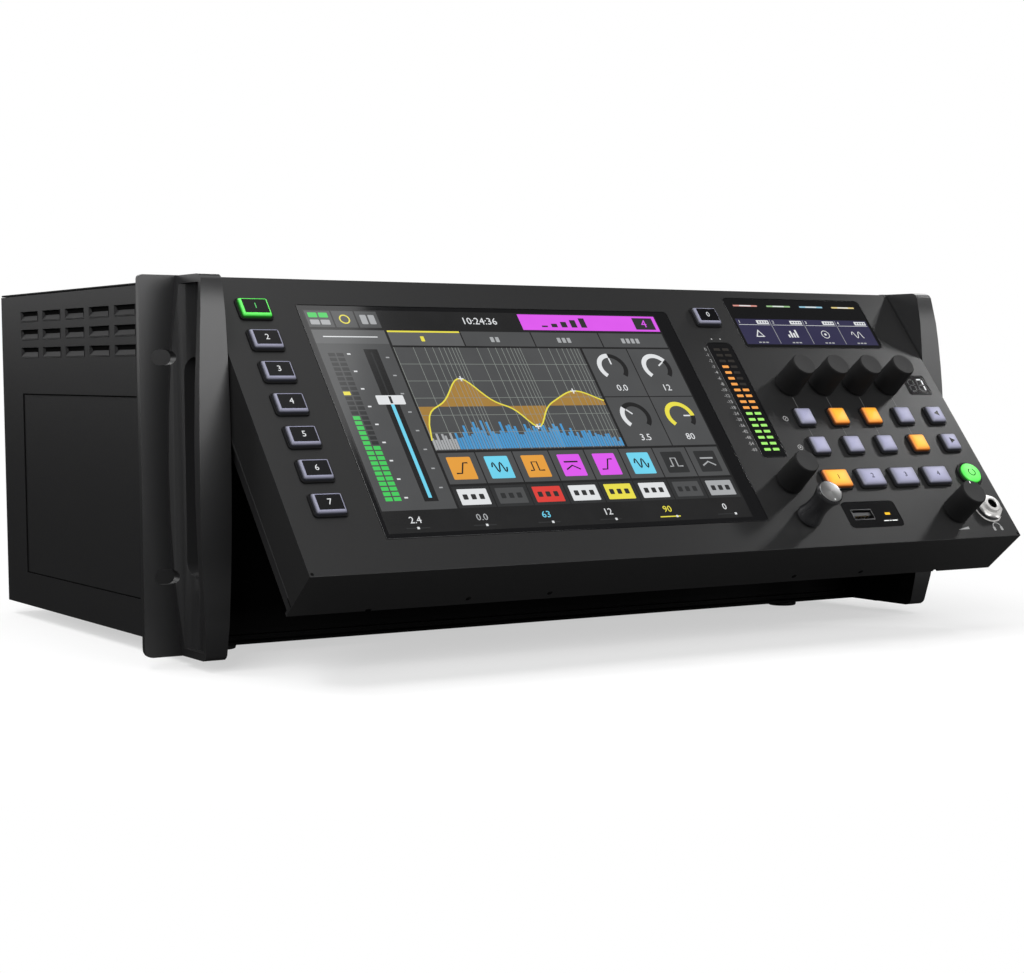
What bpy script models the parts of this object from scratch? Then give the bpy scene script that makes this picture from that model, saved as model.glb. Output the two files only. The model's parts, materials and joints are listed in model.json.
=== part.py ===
"""Rack-mount digital mixing console whose control panel tilts out at its bottom edge.

Units are metres, +Z up. +X is the viewer's right, the front faces -Y. The origin is on
the table, under the middle of the overall box. Heights are written from the chassis
underside, and the root empty lifts all pieces by the feet. Panel pieces are placed by
"down", the distance below the panel's top edge, and "back", the depth behind its face.
"""
import math

import bpy
import bmesh
from mathutils import Matrix, Vector

MM = 0.001

# Overall rack sizes
RACK_WIDTH = 482.6 * MM
EAR_HEIGHT = 177.0 * MM
EAR_THICKNESS = 3.0 * MM
EAR_FLANGE_WIDTH = 28.5 * MM
EAR_TOP_RADIUS = 2.0 * MM
EAR_BOTTOM_RADIUS = 4.0 * MM
EAR_TONGUE_THICKNESS = 4.7 * MM
EAR_TONGUE_DEPTH = 24.0 * MM
EAR_OVERHANG = 2.5 * MM
RACK_SLOT_SPACING = 101.6 * MM
RACK_SLOT_INSET = 11.1 * MM
RACK_SLOT_LENGTH = 11.0 * MM
RACK_SLOT_HEIGHT = 7.2 * MM

# Handle cast on each ear
HANDLE_DEPTH = 29.5 * MM
HANDLE_BOW = 6.8 * MM
HANDLE_END_WIDTH = 10.2 * MM
HANDLE_FLARE = 5.3 * MM
HANDLE_CORNER_RADIUS = 5.0 * MM
HANDLE_WALL = 7.2 * MM
HANDLE_LIP = 4.0 * MM
CAST_STEP = 0.2 * MM
GROOVE_SPAN = 15.5 * MM
GROOVE_REACH = 12.0 * MM
FINGER_SLOT_LENGTH = 102.0 * MM
FINGER_SLOT_WIDTH = 13.0 * MM
FINGER_SLOT_DEPTH = 5.4 * MM

# Chassis sheet metal
SHEET = 1.2 * MM
GAP = 0.3 * MM
CHASSIS_DEPTH = 257.0 * MM
TOP_LIP = 10.0 * MM
COVER_THICKNESS = 1.0 * MM
FRONT_LIP_DEPTH = 8.0 * MM
FRONT_LIP_DROP = 2.2 * MM
LOUVRE_ROWS = 3
LOUVRE_COLUMNS = 5
LOUVRE_LENGTH = 27.0 * MM
LOUVRE_HEIGHT = 5.0 * MM
LOUVRE_SINK = 3.4 * MM
LOUVRE_BLADE = 0.9 * MM
LOUVRE_PITCH_Y = 34.6 * MM
LOUVRE_PITCH_Z = 9.8 * MM
LOUVRE_TOP_INSET = 8.8 * MM
LOUVRE_REAR_INSET = 32.6 * MM
RECESS_DEPTH = 0.6 * MM
RECESS_BOTTOM = 18.4 * MM
RECESS_HEIGHT = 100.0 * MM
FOOT_HEIGHT = 7.0 * MM
FOOT_RADIUS = 9.0 * MM
FOOT_TAPER = 1.0 * MM
FOOT_INSET_X = 37.0 * MM
FOOT_INSET_Y = 48.0 * MM

# Tilting panel
PANEL_TILT_DEG = 39.8
PANEL_END_MARGIN = 3.45 * MM
PANEL_SIDE_CLEARANCE = 0.65 * MM
PANEL_SHEET = 2.0 * MM
PANEL_SIDE_DEPTH = 24.5 * MM
PANEL_LIP_DEPTH = 30.0 * MM
PANEL_TOP_DEPTH = 12.0 * MM
PANEL_BACK_DEPTH = 32.0 * MM
BACK_FLANGE_DEPTH = 18.0 * MM
LIP_NOTCH_WIDTH = 3.0 * MM
LIP_NOTCH_DEPTH = 1.6 * MM
LIP_NOTCH_X = 172.0 * MM
PIVOT_DOWN = 3.5 * MM
PIVOT_BACK = 6.0 * MM
PIN_RADIUS = 2.0 * MM
PIN_LENGTH = 6.0 * MM
PIN_CLEARANCE = 0.25 * MM
PANEL_STANDOFF = 7.0 * MM
BOARD_BACK = 9.6 * MM
BOARD_THICKNESS = 1.6 * MM
BOARD_MARGIN = 5.0 * MM

# Windows on the panel, by insets from its edges and gaps to what they serve
SCREEN_LEFT_INSET = 43.55 * MM
SCREEN_METER_GAP = 16.7 * MM
SCREEN_TOP = 16.4 * MM
SCREEN_BOTTOM_INSET = 17.7 * MM
METER_RIGHT_INSET = 131.65 * MM
METER_WIDTH = 16.2 * MM
METER_KEY_GAP = 17.1 * MM
METER_KNOB_GAP = 16.45 * MM
SCRIBBLE_RIGHT_INSET = 24.55 * MM
SCRIBBLE_WIDTH = 97.2 * MM
SCRIBBLE_TOP = 5.4 * MM
SCRIBBLE_HEIGHT = 34.8 * MM
SCRIBBLE_ENCODER_GAP = 26.5 * MM
LAYER_WIDTH = 16.4 * MM
LAYER_HEIGHT = 13.2 * MM
LAYER_DROP = -0.1 * MM
USB_RIGHT_INSET = 77.35 * MM
USB_WIDTH = 36.1 * MM
USB_HEIGHT = 15.9 * MM
USB_DEPTH = 8.0 * MM
USB_PORT_WIDTH = 13.2 * MM
USB_PORT_HEIGHT = 5.8 * MM
USB_PORT_INSET = 4.6 * MM
WINDOW_DEPTH = 4.0 * MM

# Keys; a rise is a height above the panel's bottom edge, and a gap lies between two rows' middles
KEY_TRAVEL = 0.8 * MM
KEY_PROUD = 3.0 * MM
KEY_CHAMFER = 0.8 * MM
PAGE_KEYS = 7
PAGE_KEY_INSET = 20.85 * MM
PAGE_KEY_FIRST = 20.1 * MM
PAGE_KEY_LAST_RISE = 36.9 * MM
PAGE_KEY_WIDTH = 15.0 * MM
PAGE_KEY_HEIGHT = 10.8 * MM
LAST_COLUMN_INSET = 14.85 * MM
COLUMN_PITCH = 23.3 * MM
SQUARE_KEYS = 5
SQUARE_KEY_SIZE = 10.4 * MM
ENCODER_UPPER_GAP = 21.9 * MM
UPPER_LOWER_GAP = 18.9 * MM
LOWER_BANK_GAP = 21.8 * MM
BANK_KEYS = 4
BANK_KEY_WIDTH = 16.2 * MM
BANK_KEY_HEIGHT = 10.8 * MM
BANK_SOCKET_GAP = 22.5 * MM
ROUND_KEY_RADIUS = 6.4 * MM

# Knobs and jack
ENCODERS = 4
SELECT_KNOB_RISE = 40.25 * MM
SOCKET_ROW_RISE = 18.3 * MM
KNOB_RADIUS = 7.5 * MM
KNOB_TAPER = 0.7 * MM
KNOB_HEIGHT = 18.0 * MM
KNOB_CHAMFER = 0.6 * MM
LEVEL_KNOB_RADIUS = 7.5 * MM
LEVEL_KNOB_HEIGHT = 18.0 * MM
SPOOL_RADIUS = 7.0 * MM
SPOOL_WAIST = 5.5 * MM
SPOOL_HEIGHT = 21.5 * MM
SPOOL_ASIDE = 1.1 * MM
LEVEL_KNOB_DROP = 1.2 * MM
JACK_ASIDE = 1.3 * MM
ROUND_KEY_ASIDE = 1.4 * MM
KNOB_CLEARANCE = 0.5 * MM
SHAFT_RADIUS = 3.0 * MM
SHAFT_CLEARANCE = 0.3 * MM
JACK_BODY_RADIUS = 7.0 * MM
JACK_SLEEVE_RADIUS = 4.4 * MM
JACK_BORE_RADIUS = 3.3 * MM
JACK_PROUD = 5.2 * MM
JACK_NUT_RADIUS = 7.4 * MM
JACK_NUT_HEIGHT = 2.6 * MM

# Rear connectors and inside
REAR_PROUD = 2.0 * MM
BLOCK_DEPTH = 24.0 * MM
INPUT_COLUMNS = 8
INPUT_ROWS = 2
OUTPUT_COLUMNS = 4
OUTPUT_ROWS = 2
SOCKET_COLUMN_PITCH = 32.0 * MM
SOCKET_SIDE_INSET = 13.8 * MM
SOCKET_TOP_INSET = 14.0 * MM
SOCKET_BOTTOM_INSET = 20.0 * MM
SOCKET_BLOCK_GAP = 10.0 * MM
INPUT_FACE_RADIUS = 12.0 * MM
INPUT_FACE_PROUD = 1.2 * MM
CUP_RADIUS = 9.2 * MM
CUP_DEPTH = 12.0 * MM
NETWORK_GAP = 36.0 * MM
NETWORK_WIDTH = 62.0 * MM
NETWORK_BOTTOM = 30.0 * MM
NETWORK_HEIGHT = 44.0 * MM
NETWORK_SOCKET = 13.0 * MM
NETWORK_SOCKET_DEPTH = 14.0 * MM
NETWORK_SOCKET_SPREAD = 30.0 * MM
INLET_SIDE_INSET = 39.8 * MM
INLET_BOTTOM = 18.0 * MM
INLET_WIDTH = 34.0 * MM
INLET_HEIGHT = 58.0 * MM
INLET_POCKET_WIDTH = 24.5 * MM
INLET_POCKET_HEIGHT = 17.5 * MM
INLET_POCKET_DEPTH = 15.0 * MM
ROCKER_WIDTH = 19.0 * MM
ROCKER_HEIGHT = 11.0 * MM
ROCKER_DEPTH = 7.0 * MM
ROCKER_TILT_DEG = 8.0
ROCKER_ROOM = 1.6 * MM
WALL_BELOW_POCKET = 6.0 * MM
SUPPLY_WIDTH = 92.0 * MM
SUPPLY_DEPTH = 130.0 * MM
SUPPLY_HEIGHT = 42.0 * MM
MAIN_BOARD_RAISE = 9.0 * MM
SPACER_RADIUS = 3.5 * MM
BOARD_CLEARANCE = 10.0 * MM

# Places that follow from the sizes above
EAR_BOTTOM = -EAR_OVERHANG
EAR_TOP = EAR_BOTTOM + EAR_HEIGHT
EAR_MIDDLE = (EAR_BOTTOM + EAR_TOP) / 2
CHASSIS_HEIGHT = EAR_HEIGHT - 2 * EAR_OVERHANG
HALF_RACK = RACK_WIDTH / 2
INNER_HALF = HALF_RACK - EAR_FLANGE_WIDTH
TONGUE_HALF = INNER_HALF + EAR_TONGUE_THICKNESS
CHASSIS_HALF = TONGUE_HALF + GAP + SHEET
INSIDE_HALF = CHASSIS_HALF - SHEET
PANEL_HEIGHT = EAR_HEIGHT - 2 * PANEL_END_MARGIN
SOCKET_ROW_DOWN = PANEL_HEIGHT - SOCKET_ROW_RISE
TILT_ANGLE = math.radians(PANEL_TILT_DEG)
LOWEST_KNOB_EDGE = SOCKET_ROW_DOWN + SPOOL_RADIUS - PIVOT_DOWN
TALLEST_KNOB_FACE = PIVOT_BACK + KNOB_CLEARANCE + SPOOL_HEIGHT
TILT_REACH = LOWEST_KNOB_EDGE * math.sin(TILT_ANGLE) + TALLEST_KNOB_FACE * math.cos(TILT_ANGLE)
FRONT_REACH = PANEL_STANDOFF - PIVOT_BACK + TILT_REACH
REAR_REACH = CHASSIS_DEPTH + REAR_PROUD + INPUT_FACE_PROUD
FACE_Y = (FRONT_REACH - REAR_REACH) / 2
EAR_REAR_Y = FACE_Y + EAR_THICKNESS
REAR_Y = FACE_Y + CHASSIS_DEPTH
TONGUE_END_Y = EAR_REAR_Y + EAR_TONGUE_DEPTH
BULKHEAD_Y = TONGUE_END_Y + GAP
HANDLE_X = INNER_HALF + HANDLE_WALL
PANEL_HALF = INNER_HALF - PANEL_SIDE_CLEARANCE
PANEL_CLOSED_TOP = EAR_TOP - PANEL_END_MARGIN
PIVOT_Y = FACE_Y - PANEL_STANDOFF + PIVOT_BACK
PIVOT_Z = PANEL_CLOSED_TOP - PIVOT_DOWN
PIN_START = PANEL_HALF - PANEL_SHEET + GAP
PAGE_KEY_X = PAGE_KEY_INSET - PANEL_HALF
PAGE_KEY_PITCH = (PANEL_HEIGHT - PAGE_KEY_FIRST - PAGE_KEY_LAST_RISE) / (PAGE_KEYS - 1)
LAST_COLUMN_X = PANEL_HALF - LAST_COLUMN_INSET
COLUMN_FIRST_X = LAST_COLUMN_X - (SQUARE_KEYS - 1) * COLUMN_PITCH
LEVEL_KNOB_X = COLUMN_FIRST_X + (BANK_KEYS - 1) * COLUMN_PITCH
ROW_GAPS = (SCRIBBLE_ENCODER_GAP, ENCODER_UPPER_GAP, UPPER_LOWER_GAP, LOWER_BANK_GAP, BANK_SOCKET_GAP)
ROW_SPREAD = (SOCKET_ROW_DOWN - SCRIBBLE_TOP - SCRIBBLE_HEIGHT - sum(ROW_GAPS)) / len(ROW_GAPS)
BANK_ROW_DOWN = SOCKET_ROW_DOWN - BANK_SOCKET_GAP - ROW_SPREAD
LOWER_ROW_DOWN = BANK_ROW_DOWN - LOWER_BANK_GAP - ROW_SPREAD
UPPER_ROW_DOWN = LOWER_ROW_DOWN - UPPER_LOWER_GAP - ROW_SPREAD
ENCODER_DOWN = UPPER_ROW_DOWN - ENCODER_UPPER_GAP - ROW_SPREAD
SELECT_KNOB_DOWN = PANEL_HEIGHT - SELECT_KNOB_RISE
METER_LEFT = PANEL_HALF - METER_RIGHT_INSET - METER_WIDTH
METER_X = METER_LEFT + METER_WIDTH / 2
SPOOL_X = METER_X + SPOOL_ASIDE
LEVEL_KNOB_DOWN = SOCKET_ROW_DOWN + LEVEL_KNOB_DROP
JACK_X = LAST_COLUMN_X + JACK_ASIDE
ROUND_KEY_X = LAST_COLUMN_X + ROUND_KEY_ASIDE
SCREEN_LEFT = SCREEN_LEFT_INSET - PANEL_HALF
SCREEN_RIGHT = METER_LEFT - SCREEN_METER_GAP
SCREEN_BOTTOM = PANEL_HEIGHT - SCREEN_BOTTOM_INSET
SCRIBBLE_LEFT = PANEL_HALF - SCRIBBLE_RIGHT_INSET - SCRIBBLE_WIDTH
USB_LEFT = PANEL_HALF - USB_RIGHT_INSET - USB_WIDTH
SOCKET_LEFT = SOCKET_SIDE_INSET - INSIDE_HALF
SOCKET_ROOM = CHASSIS_HEIGHT - SOCKET_TOP_INSET - SOCKET_BOTTOM_INSET - SOCKET_BLOCK_GAP
SOCKET_ROW_PITCH = SOCKET_ROOM / (INPUT_ROWS + OUTPUT_ROWS)
INPUT_BOTTOM = CHASSIS_HEIGHT - SOCKET_TOP_INSET - INPUT_ROWS * SOCKET_ROW_PITCH
NETWORK_LEFT = SOCKET_LEFT + OUTPUT_COLUMNS * SOCKET_COLUMN_PITCH + NETWORK_GAP
INLET_X = INSIDE_HALF - INLET_SIDE_INSET
KEY_BACK = BOARD_BACK - KEY_TRAVEL - 2 * GAP
DISPLAY_BACK = BOARD_BACK - GAP


def start_scene():
    """Empty the scene and make the two collections, the root and the tilt pivot."""
    for old in list(bpy.data.objects):
        bpy.data.objects.remove(old, do_unlink=True)
    parts = bpy.data.collections.new("mixing_console")
    cutters = bpy.data.collections.new("cutters")
    for group in (parts, cutters):
        bpy.context.scene.collection.children.link(group)
    root = bpy.data.objects.new("chassis_underside", None)
    parts.objects.link(root)
    root.location = (0, 0, GAP + FOOT_HEIGHT)
    pivot = bpy.data.objects.new("tilt_pivot", None)
    parts.objects.link(pivot)
    pivot.parent = root
    pivot.location = (0, PIVOT_Y, PIVOT_Z)
    pivot.rotation_euler = (-TILT_ANGLE, 0, 0)
    return parts, cutters, root, pivot


PARTS, CUTTERS, ROOT, TILT = start_scene()
MATERIALS = {}


def finish(kind):
    """Return the shared material of one finish."""
    looks = {
        "paint": ((0.035, 0.035, 0.038), 0.55, 0.2),
        "steel": ((0.55, 0.55, 0.56), 0.35, 1.0),
        "rubber": ((0.015, 0.015, 0.016), 0.8, 0.0),
        "glass": ((0.01, 0.01, 0.012), 0.08, 0.0),
        "key": ((0.33, 0.33, 0.46), 0.45, 0.0),
        "amber_key": ((1.0, 0.42, 0.02), 0.45, 0.0),
        "green_key": ((0.09, 0.8, 0.09), 0.45, 0.0),
        "plastic": ((0.02, 0.02, 0.022), 0.4, 0.0),
        "board": ((0.02, 0.14, 0.06), 0.5, 0.0),
        "chrome": ((0.8, 0.8, 0.8), 0.12, 1.0),
    }
    if kind not in MATERIALS:
        colour, roughness, metallic = looks[kind]
        made = bpy.data.materials.new(kind)
        made.use_nodes = True
        shader = made.node_tree.nodes["Principled BSDF"]
        shader.inputs["Base Color"].default_value = (*colour, 1.0)
        shader.inputs["Roughness"].default_value = roughness
        shader.inputs["Metallic"].default_value = metallic
        MATERIALS[kind] = made
    return MATERIALS[kind]


def add(name, mesh, kind=None, parent=None):
    """Put a mesh in the scene, as a part with a finish or as a cutter without one."""
    made = bpy.data.objects.new(name, mesh)
    made.parent = ROOT if parent is None else parent
    if kind is None:
        CUTTERS.objects.link(made)
        made.hide_render = True
        made.display_type = "WIRE"
    else:
        PARTS.objects.link(made)
        mesh.materials.append(finish(kind))
    return made


def box_mesh(name, low, high):
    """Mesh of a box about its own middle, and that middle."""
    low = Vector(low)
    high = Vector(high)
    shape = bmesh.new()
    bmesh.ops.create_cube(shape, size=1.0)
    bmesh.ops.scale(shape, vec=high - low, verts=shape.verts)
    mesh = bpy.data.meshes.new(name)
    shape.to_mesh(mesh)
    shape.free()
    return mesh, (low + high) / 2


def box(name, low, high, kind=None, parent=None):
    mesh, middle = box_mesh(name, low, high)
    made = add(name, mesh, kind, parent)
    made.location = middle
    return made


def cylinder(name, radius, length, kind=None, parent=None, sides=24, tip=None):
    """Cylinder or cone frustum along its own Z, about its middle."""
    shape = bmesh.new()
    bmesh.ops.create_cone(shape, cap_ends=True, segments=sides, radius1=radius,
                          radius2=radius if tip is None else tip, depth=length)
    mesh = bpy.data.meshes.new(name)
    shape.to_mesh(mesh)
    shape.free()
    if sides > 8:
        mesh.shade_smooth()
        mesh.set_sharp_from_angle(angle=math.radians(40))
    return add(name, mesh, kind, parent)


# Axis changes that lay a flat outline in the XZ or the YZ plane
IN_XZ = Matrix.Rotation(math.radians(90), 4, "X")
IN_YZ = Matrix(((0, 0, 1, 0), (1, 0, 0, 0), (0, 1, 0, 0), (0, 0, 0, 1)))
IN_XY = Matrix.Identity(4)
ALONG_X = Matrix.Rotation(math.radians(90), 4, "Y")
ALONG_Y = Matrix.Rotation(math.radians(90), 4, "X")


def plate(name, outline, thickness, lay, middle, kind=None, parent=None):
    """Flat outline with a thickness, laid in a plane, as a closed mesh."""
    curve = bpy.data.curves.new(name, "CURVE")
    curve.dimensions = "2D"
    curve.fill_mode = "BOTH"
    curve.extrude = thickness / 2
    spline = curve.splines.new("POLY")
    spline.points.add(len(outline) - 1)
    for point, (u, v) in zip(spline.points, outline):
        point.co = (u, v, 0, 1)
    spline.use_cyclic_u = True
    drawn = bpy.data.objects.new(name + "_outline", curve)
    bpy.context.scene.collection.objects.link(drawn)
    seen = drawn.evaluated_get(bpy.context.evaluated_depsgraph_get())
    mesh = bpy.data.meshes.new_from_object(seen)
    bpy.data.objects.remove(drawn, do_unlink=True)
    shape = bmesh.new()
    shape.from_mesh(mesh)
    bmesh.ops.remove_doubles(shape, verts=shape.verts, dist=1e-6)
    bmesh.ops.recalc_face_normals(shape, faces=shape.faces)
    shape.to_mesh(mesh)
    shape.free()
    made = add(name, mesh, kind, parent)
    made.matrix_local = Matrix.Translation(middle) @ lay
    return made


def turned(name, profile, kind, parent, sides=32):
    """Profile of (radius, height) points from the top axis point to the bottom one."""
    shape = bmesh.new()
    corners = [shape.verts.new((radius, 0, height)) for radius, height in profile]
    for above, below in zip(corners, corners[1:]):
        shape.edges.new((above, below))
    mesh = bpy.data.meshes.new(name)
    shape.to_mesh(mesh)
    shape.free()
    made = add(name, mesh, kind, parent)
    spin = made.modifiers.new("turn", "SCREW")
    spin.steps = sides
    spin.render_steps = sides
    spin.use_merge_vertices = True
    spin.merge_threshold = 1e-5
    spin.use_smooth_shade = True
    return made


def combine(made, other, how="DIFFERENCE"):
    step = made.modifiers.new(how.lower(), "BOOLEAN")
    step.operation = how
    step.object = other
    step.solver = "EXACT"


def chamfer(made, width, segments=1):
    edge = made.modifiers.new("edge", "BEVEL")
    edge.width = width
    edge.segments = segments
    edge.limit_method = "ANGLE"


def arc(centre, radius, start, end, steps):
    """Points on an arc, angles in degrees."""
    points = []
    for step in range(steps + 1):
        angle = math.radians(start + (end - start) * step / steps)
        points.append((centre[0] + radius * math.cos(angle), centre[1] + radius * math.sin(angle)))
    return points


def stadium(width, height, steps=8):
    """Outline with round ends, longer along its second axis, about its middle."""
    radius = width / 2
    straight = max(height / 2 - radius, 1e-5)
    return arc((0, straight), radius, 0, 180, steps) + arc((0, -straight), radius, 180, 360, steps)


def bow(height):
    """Share of the handle's bow at a height: one at the middle, none at the ends."""
    reach = (height - EAR_MIDDLE) / (EAR_HEIGHT / 2)
    return 1 - reach * reach


def on_panel(x, down, back):
    """Place under the tilt pivot of a point on the panel."""
    return Vector((x, back - PIVOT_BACK, PIVOT_DOWN - down))


def panel_box(name, left, right, top, bottom, front, rear, kind=None):
    return box(name, on_panel(left, bottom, front), on_panel(right, top, rear), kind, TILT)


def handle_outlines(side):
    """Side and front outlines of a handle: bowed forward and flared outward."""
    steps = 14
    corner = HANDLE_CORNER_RADIUS
    low = EAR_BOTTOM + corner
    high = EAR_TOP - corner
    front = FACE_Y - HANDLE_DEPTH
    seen_side = [(EAR_REAR_Y - SHEET, EAR_TOP - CAST_STEP), (front + corner, EAR_TOP - CAST_STEP)]
    seen_side += arc((front + corner, high - CAST_STEP), corner, 90, 150, 3)[1:]
    for step in range(1, steps):
        height = high + (low - high) * step / steps
        seen_side.append((front - HANDLE_BOW * bow(height), height))
    seen_side += arc((front + corner, low + CAST_STEP), corner, 210, 270, 3)
    seen_side.append((EAR_REAR_Y - SHEET, EAR_BOTTOM + CAST_STEP))
    beyond = HANDLE_END_WIDTH
    inside = side * (INNER_HALF - beyond)
    seen_front = [(inside, EAR_BOTTOM - beyond), (inside, EAR_TOP + beyond)]
    seen_front.append((side * (INNER_HALF + HANDLE_END_WIDTH), EAR_TOP + beyond))
    for step in range(steps + 1):
        height = EAR_TOP + (EAR_BOTTOM - EAR_TOP) * step / steps
        width = HANDLE_END_WIDTH + HANDLE_FLARE * bow(height)
        seen_front.append((side * (INNER_HALF + width), height))
    seen_front.append((side * (INNER_HALF + HANDLE_END_WIDTH), EAR_BOTTOM - beyond))
    return seen_side, seen_front


def flange_outline(side):
    """Front outline of the rack flange, with rounded outer corners."""
    top = EAR_TOP_RADIUS
    foot = EAR_BOTTOM_RADIUS
    outline = [(INNER_HALF + CAST_STEP, EAR_BOTTOM)]
    outline += arc((HALF_RACK - foot, EAR_BOTTOM + foot), foot, 270, 360, 4)
    outline += arc((HALF_RACK - top, EAR_TOP - top), top, 0, 90, 3)
    outline.append((INNER_HALF + CAST_STEP, EAR_TOP))
    return [(side * x, z) for x, z in outline]


def ear(name, side):
    """Rack ear: flange, bowed grab handle with its groove and finger slot, and tongue."""
    seen_side, seen_front = handle_outlines(side)
    width = HANDLE_END_WIDTH + HANDLE_FLARE + EAR_THICKNESS
    middle_x = side * (INNER_HALF + width / 2)
    made = plate(name, seen_side, width, IN_YZ, (middle_x, 0, 0), "paint")
    reach = 2 * (HANDLE_DEPTH + HANDLE_BOW + EAR_THICKNESS)
    combine(made, plate(name + "_flare", seen_front, reach, IN_XZ, (0, FACE_Y, 0)), "INTERSECT")
    groove = []
    for u, v in arc((0, 0), 1.0, 0, 360, 24)[:-1]:
        groove.append((u * GROOVE_REACH, v * GROOVE_SPAN))
    groove_x = side * (HANDLE_X + GROOVE_REACH)
    groove_y = FACE_Y - GROOVE_SPAN - GAP
    combine(made, plate(name + "_groove", groove, EAR_HEIGHT - 2 * HANDLE_LIP, IN_XY,
                        (groove_x, groove_y, EAR_MIDDLE)))
    slot_y = FACE_Y - FINGER_SLOT_WIDTH - GAP
    slot_x = side * (HANDLE_X - FINGER_SLOT_DEPTH + GROOVE_REACH / 2)
    combine(made, plate(name + "_finger_slot", stadium(FINGER_SLOT_WIDTH, FINGER_SLOT_LENGTH),
                        GROOVE_REACH, IN_YZ, (slot_x, slot_y, EAR_MIDDLE)))
    flange_y = FACE_Y + EAR_THICKNESS / 2
    combine(made, plate(name + "_flange", flange_outline(side), EAR_THICKNESS, IN_XZ,
                        (0, flange_y, 0)), "UNION")
    tongue = sorted((side * (INNER_HALF + CAST_STEP / 2), side * TONGUE_HALF))
    combine(made, box(name + "_tongue", (tongue[0], FACE_Y + SHEET, EAR_BOTTOM + CAST_STEP / 2),
                      (tongue[1], TONGUE_END_Y, EAR_TOP - EAR_OVERHANG)), "UNION")
    rack_slot = [(v, u) for u, v in stadium(RACK_SLOT_HEIGHT, RACK_SLOT_LENGTH)]
    for level in (-1, 1):
        height = EAR_MIDDLE + level * RACK_SLOT_SPACING / 2
        label = "_rack_slot_low" if level < 0 else "_rack_slot_high"
        combine(made, plate(name + label, rack_slot, 4 * EAR_THICKNESS, IN_XZ,
                            (side * (HALF_RACK - RACK_SLOT_INSET), flange_y, height)))
    bore = cylinder(name + "_pin_bore", PIN_RADIUS + PIN_CLEARANCE, 2 * PIN_LENGTH)
    bore_middle = PIN_START + GAP
    bore.matrix_local = Matrix.Translation((side * bore_middle, PIVOT_Y, PIVOT_Z)) @ ALONG_X
    combine(made, bore)
    return made


def chassis_tray():
    """Folded sheet channel: bottom, louvred sides, inward top lips and a dropped front lip."""
    half = CHASSIS_HALF
    top = CHASSIS_HEIGHT
    right = [(half, 0), (half, top), (half - TOP_LIP, top), (half - TOP_LIP, top - SHEET),
             (half - SHEET, top - SHEET), (half - SHEET, SHEET)]
    left = [(-x, z) for x, z in reversed(right)]
    start = EAR_REAR_Y + GAP
    made = plate("chassis_tray", right + left, REAR_Y - start, IN_XZ, (0, (start + REAR_Y) / 2, 0),
                 "paint")
    combine(made, box("tray_front_cut", (-INSIDE_HALF, start - SHEET, -SHEET),
                      (INSIDE_HALF, BULKHEAD_Y, top + SHEET)))
    lip_half = INNER_HALF - GAP
    combine(made, box("tray_lip_web", (-lip_half, BULKHEAD_Y - GAP, -FRONT_LIP_DROP),
                      (lip_half, BULKHEAD_Y + SHEET, SHEET)), "UNION")
    combine(made, box("tray_lip", (-lip_half, BULKHEAD_Y - FRONT_LIP_DEPTH, -FRONT_LIP_DROP),
                      (lip_half, BULKHEAD_Y + SHEET / 2, -FRONT_LIP_DROP + SHEET)), "UNION")
    louvres(made)
    run = louvre_run()
    for label, side in (("left", -1), ("right", 1)):
        reach = sorted((side * (half - RECESS_DEPTH), side * (half + SHEET)))
        combine(made, box("side_recess_" + label, (reach[0], run[0], RECESS_BOTTOM),
                          (reach[1], run[1], RECESS_BOTTOM + RECESS_HEIGHT)))
    return made


def louvre_run():
    """Front and rear ends of the row of louvres along each side."""
    rear = REAR_Y - LOUVRE_REAR_INSET
    return rear - (LOUVRE_COLUMNS - 1) * LOUVRE_PITCH_Y - LOUVRE_LENGTH, rear


def louvres(tray):
    """Cut the vents in both sides and leave a blade in each, pressed in at its top."""
    openings = bmesh.new()
    blades = bmesh.new()
    lean = math.atan2(LOUVRE_SINK, LOUVRE_HEIGHT)
    blade_height = math.hypot(LOUVRE_SINK, LOUVRE_HEIGHT) + SHEET
    blade = Matrix.Diagonal((LOUVRE_BLADE, LOUVRE_LENGTH - 2 * GAP, blade_height, 1))
    opening = Matrix.Diagonal((4 * SHEET, LOUVRE_LENGTH, LOUVRE_HEIGHT, 1))
    first = louvre_run()[0] + LOUVRE_LENGTH / 2
    for side in (-1, 1):
        for column in range(LOUVRE_COLUMNS):
            for row in range(LOUVRE_ROWS):
                y = first + column * LOUVRE_PITCH_Y
                z = CHASSIS_HEIGHT - LOUVRE_TOP_INSET - LOUVRE_HEIGHT / 2 - row * LOUVRE_PITCH_Z
                place = Matrix.Translation((side * (CHASSIS_HALF - SHEET / 2), y, z))
                bmesh.ops.create_cube(openings, size=1.0, matrix=place @ opening)
                inward = CHASSIS_HALF - LOUVRE_BLADE / 2 - LOUVRE_SINK / 2
                place = Matrix.Translation((side * inward, y, z - SHEET / 4))
                turn = Matrix.Rotation(-side * lean, 4, "Y")
                bmesh.ops.create_cube(blades, size=1.0, matrix=place @ turn @ blade)
    for name, shape, how in (("louvre_openings", openings, "DIFFERENCE"),
                             ("louvre_blades", blades, "UNION")):
        mesh = bpy.data.meshes.new(name)
        shape.to_mesh(mesh)
        shape.free()
        combine(tray, add(name, mesh), how)


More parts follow.
